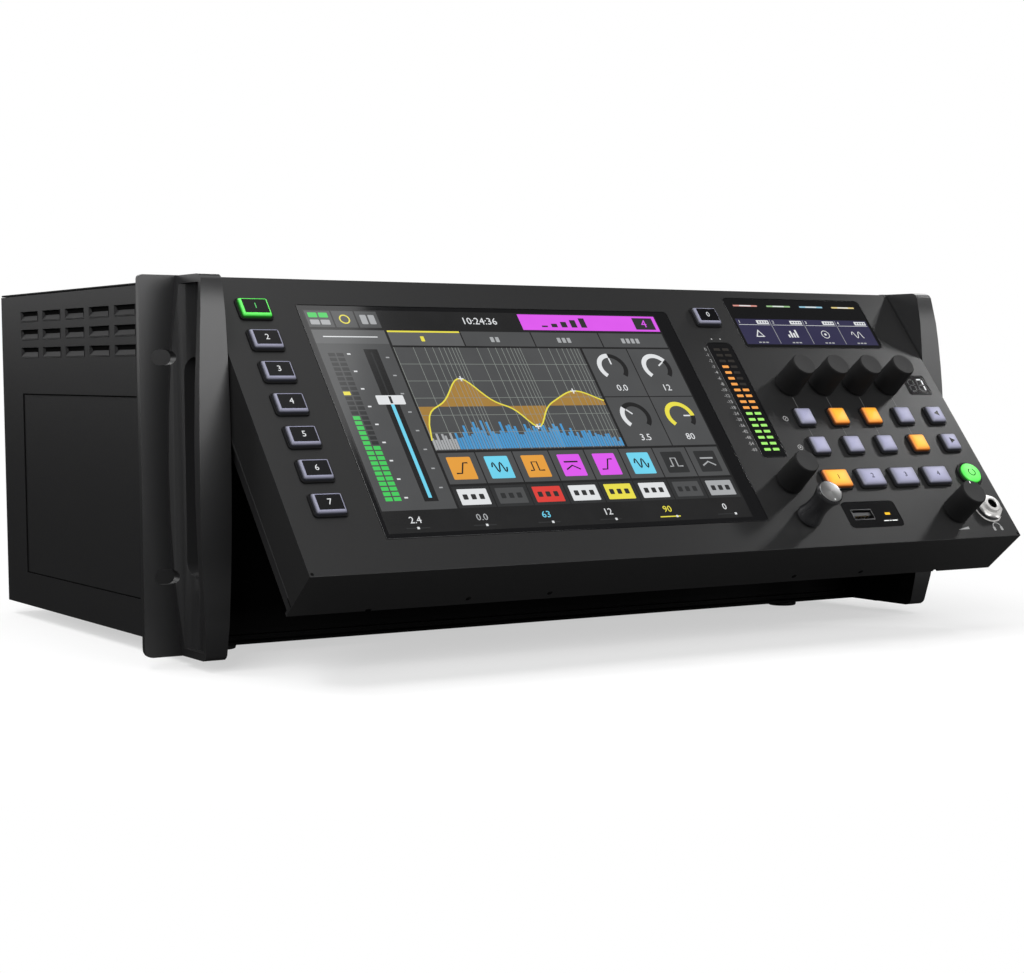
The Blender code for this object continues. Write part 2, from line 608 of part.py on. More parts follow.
def rear_blocks():
    """Low and high corners of each connector block on the rear panel: x and z only."""
    return {
        "input_block": (SOCKET_LEFT, INPUT_BOTTOM, INPUT_COLUMNS * SOCKET_COLUMN_PITCH,
                        INPUT_ROWS * SOCKET_ROW_PITCH),
        "output_block": (SOCKET_LEFT, SOCKET_BOTTOM_INSET, OUTPUT_COLUMNS * SOCKET_COLUMN_PITCH,
                         OUTPUT_ROWS * SOCKET_ROW_PITCH),
        "network_block": (NETWORK_LEFT, NETWORK_BOTTOM, NETWORK_WIDTH, NETWORK_HEIGHT),
        "mains_inlet": (INLET_X - INLET_WIDTH / 2, INLET_BOTTOM, INLET_WIDTH, INLET_HEIGHT),
    }


def chassis_shell():
    chassis_tray()
    box("top_cover", (-CHASSIS_HALF + GAP, EAR_REAR_Y + GAP, CHASSIS_HEIGHT + GAP),
        (CHASSIS_HALF - GAP, REAR_Y, CHASSIS_HEIGHT + GAP + COVER_THICKNESS), "paint")
    inside = INSIDE_HALF - GAP
    low = SHEET + GAP
    high = CHASSIS_HEIGHT - SHEET - GAP
    box("front_bulkhead", (-inside, BULKHEAD_Y, low), (inside, BULKHEAD_Y + SHEET, high), "paint")
    rear = box("rear_panel", (-inside, REAR_Y - SHEET, low), (inside, REAR_Y, high), "paint")
    for name, (left, bottom, width, height) in rear_blocks().items():
        combine(rear, box(name + "_window", (left - GAP, REAR_Y - 2 * SHEET, bottom - GAP),
                          (left + width + GAP, REAR_Y + SHEET, bottom + height + GAP)))
    foot_x = CHASSIS_HALF - FOOT_INSET_X
    for end, y in (("front", FACE_Y + FOOT_INSET_Y), ("rear", REAR_Y - FOOT_INSET_Y)):
        for label, side in (("left", -1), ("right", 1)):
            foot = cylinder("foot_%s_%s" % (end, label), FOOT_RADIUS - FOOT_TAPER, FOOT_HEIGHT, "rubber",
                            tip=FOOT_RADIUS)
            foot.location = (side * foot_x, y, -GAP - FOOT_HEIGHT / 2)


def connector_block(name, kind="plastic"):
    left, bottom, width, height = rear_blocks()[name]
    return box(name, (left, REAR_Y + REAR_PROUD - BLOCK_DEPTH, bottom),
               (left + width, REAR_Y + REAR_PROUD, bottom + height), kind)


def rear_connectors():
    """Input and output socket blocks, network sockets and the mains inlet with its switch."""
    face = REAR_Y + REAR_PROUD
    inputs = connector_block("input_block")
    for column in range(INPUT_COLUMNS):
        for row in range(INPUT_ROWS):
            socket = cylinder("input_face_%d_%d" % (column + 1, row + 1), INPUT_FACE_RADIUS,
                              2 * INPUT_FACE_PROUD, sides=20)
            x = SOCKET_LEFT + (column + 0.5) * SOCKET_COLUMN_PITCH
            z = INPUT_BOTTOM + (row + 0.5) * SOCKET_ROW_PITCH
            socket.matrix_local = Matrix.Translation((x, face, z)) @ ALONG_Y
            combine(inputs, socket, "UNION")
    outputs = connector_block("output_block")
    for column in range(OUTPUT_COLUMNS):
        for row in range(OUTPUT_ROWS):
            cup = cylinder("output_cup_%d_%d" % (column + 1, row + 1), CUP_RADIUS, 2 * CUP_DEPTH, sides=20)
            x = SOCKET_LEFT + (column + 0.5) * SOCKET_COLUMN_PITCH
            z = SOCKET_BOTTOM_INSET + (row + 0.5) * SOCKET_ROW_PITCH
            cup.matrix_local = Matrix.Translation((x, face, z)) @ ALONG_Y
            combine(outputs, cup)
    network = connector_block("network_block")
    middle_x = NETWORK_LEFT + NETWORK_WIDTH / 2
    middle_z = NETWORK_BOTTOM + NETWORK_HEIGHT / 2
    for label, side in (("left", -1), ("right", 1)):
        x = middle_x + side * NETWORK_SOCKET_SPREAD / 2
        half = NETWORK_SOCKET / 2
        combine(network, box("network_socket_" + label,
                             (x - half, face - NETWORK_SOCKET_DEPTH, middle_z - half),
                             (x + half, face + GAP, middle_z + half)))
    inlet = connector_block("mains_inlet")
    pocket_low = INLET_BOTTOM + WALL_BELOW_POCKET
    combine(inlet, box("inlet_pocket",
                       (INLET_X - INLET_POCKET_WIDTH / 2, face - INLET_POCKET_DEPTH, pocket_low),
                       (INLET_X + INLET_POCKET_WIDTH / 2, face + GAP, pocket_low + INLET_POCKET_HEIGHT)))
    rocker_z = INLET_BOTTOM + INLET_HEIGHT - WALL_BELOW_POCKET - ROCKER_ROOM - ROCKER_HEIGHT / 2
    half_w = ROCKER_WIDTH / 2 + GAP
    half_h = ROCKER_HEIGHT / 2 + ROCKER_ROOM
    combine(inlet, box("rocker_pocket",
                       (INLET_X - half_w, face - ROCKER_DEPTH - ROCKER_ROOM, rocker_z - half_h),
                       (INLET_X + half_w, face + GAP, rocker_z + half_h)))
    mesh, _ = box_mesh("power_switch", (-ROCKER_WIDTH / 2, -ROCKER_DEPTH / 2, -ROCKER_HEIGHT / 2),
                       (ROCKER_WIDTH / 2, ROCKER_DEPTH / 2, ROCKER_HEIGHT / 2))
    rocker = add("power_switch", mesh, "plastic")
    rocker.location = (INLET_X, face - ROCKER_DEPTH / 2 + GAP, rocker_z)
    rocker.rotation_euler = (math.radians(-ROCKER_TILT_DEG), 0, 0)
    chamfer(rocker, KEY_CHAMFER)


def inner_works():
    """Main board on its spacers and the power supply, both on the tray floor."""
    floor = SHEET + GAP
    left = -INSIDE_HALF + BOARD_CLEARANCE
    supply_right = INSIDE_HALF - BOARD_CLEARANCE
    supply_left = supply_right - SUPPLY_WIDTH
    right = supply_left - BOARD_CLEARANCE
    front = BULKHEAD_Y + SHEET + BOARD_CLEARANCE
    rear = REAR_Y + REAR_PROUD - BLOCK_DEPTH - BOARD_CLEARANCE
    board_low = floor + MAIN_BOARD_RAISE
    board = box("main_board", (left, front, board_low), (right, rear, board_low + BOARD_THICKNESS), "board")
    inset = 2 * SPACER_RADIUS
    for x in (left + inset, right - inset):
        for y in (front + inset, rear - inset):
            spacer = cylinder("spacer", SPACER_RADIUS, MAIN_BOARD_RAISE + GAP, sides=12)
            spacer.location = (x, y, floor + (MAIN_BOARD_RAISE + GAP) / 2)
            combine(board, spacer, "UNION")
    supply = box("power_supply", (supply_left, rear - SUPPLY_DEPTH, floor),
                 (supply_right, rear, floor + SUPPLY_HEIGHT), "steel")
    chamfer(supply, SHEET)


def window_frames():
    """Left, right, top and bottom of every window on the panel, by the piece that fills it."""
    layer_left = LAST_COLUMN_X - LAYER_WIDTH / 2
    layer_top = ENCODER_DOWN + LAYER_DROP - LAYER_HEIGHT / 2
    usb_top = SOCKET_ROW_DOWN - USB_HEIGHT / 2
    meter_top = PAGE_KEY_FIRST + METER_KEY_GAP
    return {
        "touch_screen": (SCREEN_LEFT, SCREEN_RIGHT, SCREEN_TOP, SCREEN_BOTTOM),
        "meter_lens": (METER_LEFT, METER_LEFT + METER_WIDTH, meter_top, SELECT_KNOB_DOWN - METER_KNOB_GAP),
        "scribble_display": (SCRIBBLE_LEFT, SCRIBBLE_LEFT + SCRIBBLE_WIDTH, SCRIBBLE_TOP,
                             SCRIBBLE_TOP + SCRIBBLE_HEIGHT),
        "layer_display": (layer_left, layer_left + LAYER_WIDTH, layer_top, layer_top + LAYER_HEIGHT),
        "usb_socket": (USB_LEFT, USB_LEFT + USB_WIDTH, usb_top, usb_top + USB_HEIGHT),
    }


def key_layout():
    """Name, place, width, height and finish of every rectangular key."""
    keys = []
    for index in range(PAGE_KEYS):
        shade = "green_key" if index == 0 else "key"
        keys.append(("page_key_%d" % (index + 1), PAGE_KEY_X, PAGE_KEY_FIRST + index * PAGE_KEY_PITCH,
                     PAGE_KEY_WIDTH, PAGE_KEY_HEIGHT, shade))
    keys.append(("clear_key", METER_X, PAGE_KEY_FIRST, PAGE_KEY_WIDTH, PAGE_KEY_HEIGHT, "key"))
    lit_upper = (1, 2)
    lit_lower = (3,)
    for index in range(SQUARE_KEYS):
        x = COLUMN_FIRST_X + index * COLUMN_PITCH
        keys.append(("mute_key_%d" % (index + 1), x, UPPER_ROW_DOWN, SQUARE_KEY_SIZE, SQUARE_KEY_SIZE,
                     "amber_key" if index in lit_upper else "key"))
    for index in range(SQUARE_KEYS):
        x = COLUMN_FIRST_X + index * COLUMN_PITCH
        keys.append(("solo_key_%d" % (index + 1), x, LOWER_ROW_DOWN, SQUARE_KEY_SIZE, SQUARE_KEY_SIZE,
                     "amber_key" if index in lit_lower else "key"))
    for index in range(BANK_KEYS):
        x = COLUMN_FIRST_X + index * COLUMN_PITCH
        keys.append(("bank_key_%d" % (index + 1), x, BANK_ROW_DOWN, BANK_KEY_WIDTH, BANK_KEY_HEIGHT,
                     "amber_key" if index == 0 else "key"))
    return keys


def knob_layout():
    """Name and place of every knob."""
    knobs = []
    for index in range(ENCODERS):
        knobs.append(("encoder_%d" % (index + 1), COLUMN_FIRST_X + index * COLUMN_PITCH, ENCODER_DOWN))
    knobs.append(("select_encoder", METER_X, SELECT_KNOB_DOWN))
    knobs.append(("main_encoder", SPOOL_X, SOCKET_ROW_DOWN))
    knobs.append(("level_knob", LEVEL_KNOB_X, LEVEL_KNOB_DOWN))
    return knobs


def face_cutouts():
    """One cutter with an opening for every window, key, knob shaft and the jack."""
    shape = bmesh.new()

    def block(left, right, top, bottom):
        size = Matrix.Diagonal((right - left + 2 * GAP, 4 * PANEL_SHEET, bottom - top + 2 * GAP, 1))
        middle = on_panel((left + right) / 2, (top + bottom) / 2, 0)
        bmesh.ops.create_cube(shape, size=1.0, matrix=Matrix.Translation(middle) @ size)

    def drill(x, down, radius):
        turn = Matrix.Translation(on_panel(x, down, 0)) @ ALONG_Y
        bmesh.ops.create_cone(shape, cap_ends=True, segments=24, radius1=radius, radius2=radius,
                              depth=4 * PANEL_SHEET, matrix=turn)

    for left, right, top, bottom in window_frames().values():
        block(left, right, top, bottom)
    for _, x, down, width, height, _ in key_layout():
        block(x - width / 2, x + width / 2, down - height / 2, down + height / 2)
    for _, x, down in knob_layout():
        drill(x, down, SHAFT_RADIUS + SHAFT_CLEARANCE)
    drill(ROUND_KEY_X, BANK_ROW_DOWN, ROUND_KEY_RADIUS + GAP)
    drill(JACK_X, SOCKET_ROW_DOWN, JACK_SLEEVE_RADIUS + GAP)
    mesh = bpy.data.meshes.new("face_cutouts")
    shape.to_mesh(mesh)
    shape.free()
    return add("face_cutouts", mesh, None, TILT)


def front_panel():
    """Folded face sheet with side walls, a deep bottom lip and a short top flange."""
    over = PANEL_SHEET
    made = panel_box("front_panel", -PANEL_HALF, PANEL_HALF, 0, PANEL_HEIGHT, 0, PANEL_LIP_DEPTH, "paint")
    inner = PANEL_HALF - PANEL_SHEET
    combine(made, panel_box("panel_hollow", -inner, inner, PANEL_SHEET, PANEL_HEIGHT - PANEL_SHEET,
                            PANEL_SHEET, PANEL_LIP_DEPTH + over))
    combine(made, panel_box("panel_side_trim", -PANEL_HALF - over, PANEL_HALF + over, -over,
                            PANEL_HEIGHT - PANEL_SHEET, PANEL_SIDE_DEPTH, PANEL_LIP_DEPTH + over))
    combine(made, panel_box("panel_top_trim", -inner, inner, -over, 2 * PANEL_SHEET,
                            PANEL_TOP_DEPTH, PANEL_LIP_DEPTH + over))
    for label, side in (("left", -1), ("right", 1)):
        x = side * LIP_NOTCH_X
        combine(made, panel_box("lip_notch_" + label, x - LIP_NOTCH_WIDTH / 2, x + LIP_NOTCH_WIDTH / 2,
                                PANEL_HEIGHT - 2 * PANEL_SHEET, PANEL_HEIGHT + over,
                                PANEL_LIP_DEPTH - LIP_NOTCH_DEPTH, PANEL_LIP_DEPTH + over))
        bore = cylinder("panel_bore_" + label, PIN_RADIUS + PIN_CLEARANCE, 4 * PANEL_SHEET, parent=TILT)
        bore.matrix_local = Matrix.Translation((side * (PANEL_HALF - PANEL_SHEET / 2), 0, 0)) @ ALONG_X
        combine(made, bore)
    combine(made, face_cutouts())


def panel_back():
    """Rear cover of the panel: a shallow tray whose flanges slip inside the side walls."""
    half = PANEL_HALF - PANEL_SHEET - GAP
    top = PANEL_SHEET + GAP
    bottom = PANEL_HEIGHT - PANEL_SHEET - GAP
    front = PANEL_BACK_DEPTH - BACK_FLANGE_DEPTH
    made = panel_box("panel_back", -half, half, top, bottom, front, PANEL_BACK_DEPTH, "paint")
    combine(made, panel_box("panel_back_hollow", -half + SHEET, half - SHEET, top + SHEET, bottom - SHEET,
                            front - SHEET, PANEL_BACK_DEPTH - SHEET))


def panel_fixed_pieces():
    """Windows, display module, control board, USB socket and headphone jack."""
    for name, (left, right, top, bottom) in window_frames().items():
        depth = {"touch_screen": PANEL_SHEET, "usb_socket": USB_DEPTH}.get(name, WINDOW_DEPTH)
        made = panel_box(name, left, right, top, bottom, 0, depth, "glass")
        if name == "usb_socket":
            port_left = left + USB_PORT_INSET
            middle = (top + bottom) / 2
            combine(made, panel_box("usb_port", port_left, port_left + USB_PORT_WIDTH,
                                    middle - USB_PORT_HEIGHT / 2, middle + USB_PORT_HEIGHT / 2,
                                    -GAP, USB_DEPTH - PANEL_SHEET))
    panel_box("display_module", SCREEN_LEFT + GAP, SCREEN_RIGHT - GAP, SCREEN_TOP + GAP,
              SCREEN_BOTTOM - GAP, PANEL_SHEET + GAP, DISPLAY_BACK, "steel")
    edge = PANEL_HALF - PANEL_SHEET - BOARD_MARGIN
    board_top = PANEL_SHEET + BOARD_MARGIN
    panel_box("control_board", -edge, edge, board_top, PANEL_HEIGHT - board_top,
              BOARD_BACK, BOARD_BACK + BOARD_THICKNESS, "board")
    outward = Matrix.Translation(on_panel(JACK_X, SOCKET_ROW_DOWN, 0)) @ ALONG_Y
    floor = -DISPLAY_BACK
    jack = turned("headphone_jack", [
        (0, floor + PANEL_SHEET), (JACK_BORE_RADIUS, floor + PANEL_SHEET), (JACK_BORE_RADIUS, JACK_PROUD),
        (JACK_SLEEVE_RADIUS, JACK_PROUD), (JACK_SLEEVE_RADIUS, -PANEL_SHEET - GAP),
        (JACK_BODY_RADIUS, -PANEL_SHEET - GAP), (JACK_BODY_RADIUS, floor), (0, floor)], "chrome", TILT, 24)
    jack.matrix_local = outward
    nut = cylinder("jack_nut", JACK_NUT_RADIUS, JACK_NUT_HEIGHT, "chrome", TILT, sides=6)
    bore = cylinder("jack_nut_bore", JACK_SLEEVE_RADIUS + GAP, 2 * JACK_NUT_HEIGHT, None, TILT)
    for piece in (nut, bore):
        piece.matrix_local = outward @ Matrix.Translation((0, 0, GAP + JACK_NUT_HEIGHT / 2))
    combine(nut, bore)


def panel_keys():
    for name, x, down, width, height, shade in key_layout():
        key = panel_box(name, x - width / 2, x + width / 2, down - height / 2, down + height / 2,
                        -KEY_PROUD, KEY_BACK, shade)
        chamfer(key, KEY_CHAMFER)
    key = cylinder("round_key", ROUND_KEY_RADIUS, KEY_PROUD + KEY_BACK, "green_key", TILT)
    middle = on_panel(ROUND_KEY_X, BANK_ROW_DOWN, (KEY_BACK - KEY_PROUD) / 2)
    key.matrix_local = Matrix.Translation(middle) @ ALONG_Y
    chamfer(key, KEY_CHAMFER)


def plain_knob(radius, height):
    """Outer profile of a slightly tapered knob, top to bottom."""
    top = KNOB_CLEARANCE + height
    return [(0, top), (radius - KNOB_TAPER - KNOB_CHAMFER, top), (radius - KNOB_TAPER, top - KNOB_CHAMFER),
            (radius, KNOB_CLEARANCE)]


def spool_knob():
    """Outer profile of the waisted knob, top to bottom."""
    top = KNOB_CLEARANCE + SPOOL_HEIGHT
    profile = [(0, top)]
    steps = 8
    for step in range(steps + 1):
        share = step / steps
        waist = math.sin(math.pi * share)
        profile.append((SPOOL_RADIUS - (SPOOL_RADIUS - SPOOL_WAIST) * waist, top - SPOOL_HEIGHT * share))
    return profile


def panel_knobs():
    shaft_end = GAP - BOARD_BACK
    for name, x, down in knob_layout():
        if name == "main_encoder":
            profile = spool_knob()
        elif name == "level_knob":
            profile = plain_knob(LEVEL_KNOB_RADIUS, LEVEL_KNOB_HEIGHT)
        else:
            profile = plain_knob(KNOB_RADIUS, KNOB_HEIGHT)
        profile += [(SHAFT_RADIUS, KNOB_CLEARANCE), (SHAFT_RADIUS, shaft_end), (0, shaft_end)]
        knob = turned(name, profile, "rubber", TILT, 24)
        knob.matrix_local = Matrix.Translation(on_panel(x, down, 0)) @ ALONG_Y


def hinge_pins():
    """Pins fixed in the ears that carry the panel's side walls."""
    for name, side in (("left_hinge_pin", -1), ("right_hinge_pin", 1)):
        pin = cylinder(name, PIN_RADIUS, PIN_LENGTH, "steel")
        middle_x = side * (PIN_START + PIN_LENGTH / 2)
        pin.matrix_local = Matrix.Translation((middle_x, PIVOT_Y, PIVOT_Z)) @ ALONG_X


chassis_shell()
ear("left_ear", -1)
ear("right_ear", 1)
rear_connectors()
inner_works()
hinge_pins()
front_panel()
panel_back()
panel_fixed_pieces()
panel_keys()
panel_knobs()
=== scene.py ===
"""Looks of the rack mixing console: finishes, caps, knobs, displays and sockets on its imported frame.

Panel figures are drawn in face coordinates: x to the right, y up the panel from its top
edge (so y is negative on the panel) and height out of the face. Lengths there are in mm.
"""
import json
import math
import random

import bmesh
import bpy
from mathutils import Matrix, Vector


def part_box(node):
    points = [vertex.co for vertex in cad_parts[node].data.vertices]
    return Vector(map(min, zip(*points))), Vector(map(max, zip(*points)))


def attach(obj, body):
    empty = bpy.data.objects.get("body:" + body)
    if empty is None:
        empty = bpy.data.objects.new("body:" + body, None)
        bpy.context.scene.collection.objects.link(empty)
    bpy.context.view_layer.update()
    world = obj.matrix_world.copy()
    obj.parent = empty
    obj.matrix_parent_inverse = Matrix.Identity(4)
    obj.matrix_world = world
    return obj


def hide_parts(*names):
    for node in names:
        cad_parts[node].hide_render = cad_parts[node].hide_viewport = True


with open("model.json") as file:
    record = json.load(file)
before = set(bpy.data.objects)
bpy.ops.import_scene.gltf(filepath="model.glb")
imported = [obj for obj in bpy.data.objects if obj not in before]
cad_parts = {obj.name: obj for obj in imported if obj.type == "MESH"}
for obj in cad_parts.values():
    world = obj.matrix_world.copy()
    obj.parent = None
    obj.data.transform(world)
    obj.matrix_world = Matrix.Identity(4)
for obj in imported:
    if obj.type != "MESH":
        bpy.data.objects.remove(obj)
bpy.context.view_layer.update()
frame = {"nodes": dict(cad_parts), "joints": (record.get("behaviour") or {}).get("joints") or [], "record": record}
NODES = frame["nodes"]
BODY_OF = {node: body for body, members in frame["record"]["behaviour"]["bodies"].items() for node in members}

MM = 0.001
HERE = Matrix.Identity(4)
TO_MM = Matrix.Scale(MM, 4)
UP = (0, 0, 1)
BACK = (0, 1, 0)


def rgb(red, green, blue):
    """Linear colour of a screen colour given in 0 to 255."""
    levels = []
    for value in (red, green, blue):
        share = value / 255
        levels.append(share / 12.92 if share <= 0.04045 else ((share + 0.055) / 1.055) ** 2.4)
    return (*levels, 1.0)


def grey(level, blue=None):
    """A grey, or one with a cast of blue."""
    return (level, level, blue or level, 1.0)


def shaded(colour, share, lift=0.0):
    """A colour made lighter or darker."""
    return (*(level * share + lift for level in colour[:3]), 1.0)


class Wire:
    """A shader socket. Arithmetic on it adds Math nodes."""

    def __init__(self, finish, socket):
        self.finish = finish
        self.socket = socket

    def math(self, operation, *values):
        return self.finish.node("ShaderNodeMath", {"operation": operation}, dict(enumerate(values)))

    def size(self):
        return self.math("ABSOLUTE", self)

    def __add__(self, other):
        return self.math("ADD", self, other)

    def __sub__(self, other):
        return self.math("SUBTRACT", self, other)

    def __rsub__(self, other):
        return self.math("SUBTRACT", other, self)

    def __mul__(self, other):
        return self.math("MULTIPLY", self, other)

    def __pow__(self, other):
        return self.math("POWER", self, other)

    def __rpow__(self, other):
        return self.math("POWER", other, self)

    def __gt__(self, other):
        return self.math("GREATER_THAN", self, other)

    def __lt__(self, other):
        return self.math("LESS_THAN", self, other)

    __radd__ = __add__
    __rmul__ = __mul__


class Finish:
    """A procedural material, or the nodes of another holder such as the world."""

    def __init__(self, name, holder=None, shader="Principled BSDF"):
        self.material = holder or bpy.data.materials.new(name)
        self.material.use_nodes = True
        self.tree = self.material.node_tree
        self.shader = self.tree.nodes[shader]

    def feed(self, socket, value):
        if isinstance(value, Wire):
            self.tree.links.new(value.socket, socket)
        else:
            socket.default_value = value

    def node(self, kind, settings=None, inputs=None, out=0):
        """A node of a kind, with its settings first and then its sockets' values or links."""
        made = self.tree.nodes.new(kind)
        for key, value in (settings or {}).items():
            setattr(made, key, value)
        for key, value in (inputs or {}).items():
            self.feed(made.inputs[key], value)
        return Wire(self, made.outputs[out])

    def look(self, **sockets):
        """Feed the shader's sockets, named with underscores for spaces."""
        for key, value in sockets.items():
            self.feed(self.shader.inputs[key.replace("_", " ")], value)
        return self

    def place(self, kind="Object"):
        return self.node("ShaderNodeTexCoord", out=kind)

    def stretched(self, scale):
        return self.node("ShaderNodeVectorMath", {"operation": "MULTIPLY"}, {0: self.place(), 1: scale})

    def axes(self, vector):
        split = self.node("ShaderNodeSeparateXYZ", None, {0: vector})
        return [Wire(self, socket) for socket in split.socket.node.outputs]

    def noise(self, vector, scale, detail=2.0):
        return self.node("ShaderNodeTexNoise", None, {"Vector": vector, "Scale": scale, "Detail": detail})

    def mix(self, share, first, second):
        return self.node("ShaderNodeMix", {"data_type": "RGBA", "clamp_factor": True},
                         {0: share, 6: first, 7: second}, out=2)

    def ramp(self, value, start, end, low=0.0, high=1.0, kind="LINEAR"):
        return self.node("ShaderNodeMapRange", {"interpolation_type": kind},
                         {0: value, 1: start, 2: end, 3: low, 4: high})

    def bump(self, height, strength, depth):
        return self.node("ShaderNodeBump", None, {"Strength": strength, "Distance": depth, "Height": height})


def painted(name, colour, grain, depth, rough, sheen=0.3):
    """Fine-textured stoving paint: grain in the surface and a slow drift in its shade."""
    made = Finish(name)
    at = made.place()
    fine = made.noise(at, grain)
    slow = made.noise(at, 7.0, 3.0)
    return made.look(Base_Color=made.mix(fine * 0.6 + slow * 0.4, shaded(colour, 0.86), shaded(colour, 1.16)),
                     Roughness=rough - 0.06 + fine * 0.12, Specular_IOR_Level=sheen,
                     Normal=made.bump(fine, 0.5, depth))


def moulded(name, colour, rough, grain=2600.0, depth=0.00002, sheen=0.5):
    """Moulded plastic or rubber with a faint mottle."""
    made = Finish(name)
    at = made.place()
    fine = made.noise(at, grain, 3.0)
    mottle = made.noise(at, 130.0)
    return made.look(Base_Color=made.mix(mottle, colour, shaded(colour, 1.25, 0.001)),
                     Roughness=rough - 0.05 + fine * 0.1, Specular_IOR_Level=sheen,
                     Normal=made.bump(fine, 0.4, depth))


def metal(name, colour, rough, stretch, bare=1.0):
    """Bare metal with marks drawn out along the stretched axes."""
    made = Finish(name)
    marks = made.noise(made.stretched(stretch), 1.0, 3.0)
    return made.look(Base_Color=made.mix(marks, shaded(colour, 0.75), colour), Metallic=bare,
                     Roughness=rough - 0.08 + marks * 0.16, Normal=made.bump(marks, 0.25, 0.00003))


def turned_metal(name, colour, rough):
    """Metal face cut on a lathe: fine rings about the piece's own axis, and two light and two dark sectors that are a
    painted highlight of the turned face.
    """
    made = Finish(name)
    across, up, _ = made.axes(made.place())
    radius = (across * across + up * up) ** 0.5
    rings = made.noise(made.node("ShaderNodeCombineXYZ", None, {0: radius * 9000.0}), 1.0)
    # Sectors by angle: painted highlight, the cross of light on turned metal.
    angle = up.math("ARCTAN2", up, across)
    painted_glint_fan = angle.math("SINE", angle * 2.0)
    return made.look(Base_Color=made.mix(painted_glint_fan * 0.35 + rings * 0.5 + 0.15, shaded(colour, 0.55), colour),
                     Metallic=1.0, Roughness=rough - 0.06 + rings * 0.12, Normal=made.bump(rings, 0.3, 0.00002))


def glossy(name, colour, rough, sheen=0.5):
    """Display glass or polished plastic with the faintest smear."""
    made = Finish(name)
    smear = made.noise(made.stretched((60.0, 25.0, 25.0)), 1.0, 3.0)
    return made.look(Base_Color=made.mix(smear, colour, shaded(colour, 1.3)), Roughness=rough + smear * 0.04,
                     Specular_IOR_Level=sheen)


def lit(name, colour, strength=1.0):
    """A lit display element under glass: its colour glows and its face stays glossy."""
    made = Finish(name)
    drift = made.noise(made.place(), 60.0)
    return made.look(Emission_Color=made.mix(drift, shaded(colour, 0.9), colour), Emission_Strength=strength,
                     Roughness=0.1, Base_Color=made.mix(drift, grey(0.006), grey(0.012)))


def cap_finish(name, edge, middle, glow):
    """Translucent key cap, lit from below: bright over most of its face, deeper at the rim and darker low on its sides
    as painted shade.
    """
    made = Finish(name)
    across, up, out = made.axes(made.place("Generated"))
    aside = (across * 2.0 - 1.0).size()
    along = (up * 2.0 - 1.0).size()
    rim = aside.math("SMOOTH_MAX", aside, along, 0.3) ** 3.2
    cloud = made.noise(made.place(), 900.0)
    # Darker low on the cap's sides: painted shade.
    side_shade = made.ramp(out, 0.68, 0.89, 1.0, 0.0)
    face = made.mix(rim + cloud * 0.1 - 0.05, middle, edge)
    colour = made.mix(side_shade, face, shaded(edge, 0.12))
    return made.look(Base_Color=colour, Emission_Color=colour, Emission_Strength=glow,
                     Roughness=0.42 + cloud * 0.1, Normal=made.bump(cloud, 0.3, 0.00002))


def board_finish(name):
    """Green circuit board with tracks and pads."""
    made = Finish(name)
    at = made.place()
    tracks = made.node("ShaderNodeTexBrick", {"offset": 0.37},
                       {"Vector": at, "Scale": 90.0, "Mortar Size": 0.03, "Color1": grey(0.0), "Color2": grey(0.1),
                        "Mortar": grey(1.0)})
    pads = made.node("ShaderNodeTexVoronoi", None, {"Vector": at, "Scale": 220.0})
    lacquer = made.mix(tracks, (0.012, 0.10, 0.04, 1.0), (0.03, 0.2, 0.09, 1.0))
    return made.look(Base_Color=made.mix(pads > 0.82, lacquer, (0.5, 0.42, 0.2, 1.0)),
                     Roughness=0.35 + tracks * 0.15)


def polar(radius, degrees, middle=(0, 0)):
    angle = math.radians(degrees)
    return middle[0] + radius * math.cos(angle), middle[1] + radius * math.sin(angle)


def circle(radius, steps=24, middle=(0, 0)):
    return [polar(radius, 360 * step / steps, middle) for step in range(steps)]


def round_rect(width, height, radius, steps=4):
    """Outline of a rectangle about its middle, with round corners if it has steps."""
    if not steps:
        return [(-width / 2, -height / 2), (width / 2, -height / 2), (width / 2, height / 2), (-width / 2, height / 2)]
    points = []
    for across, up, start in ((1, -1, 270), (1, 1, 0), (-1, 1, 90), (-1, -1, 180)):
        corner = (across * (width / 2 - radius), up * (height / 2 - radius))
        points += [polar(radius, start + 90 * step / steps, corner) for step in range(steps + 1)]
    return points


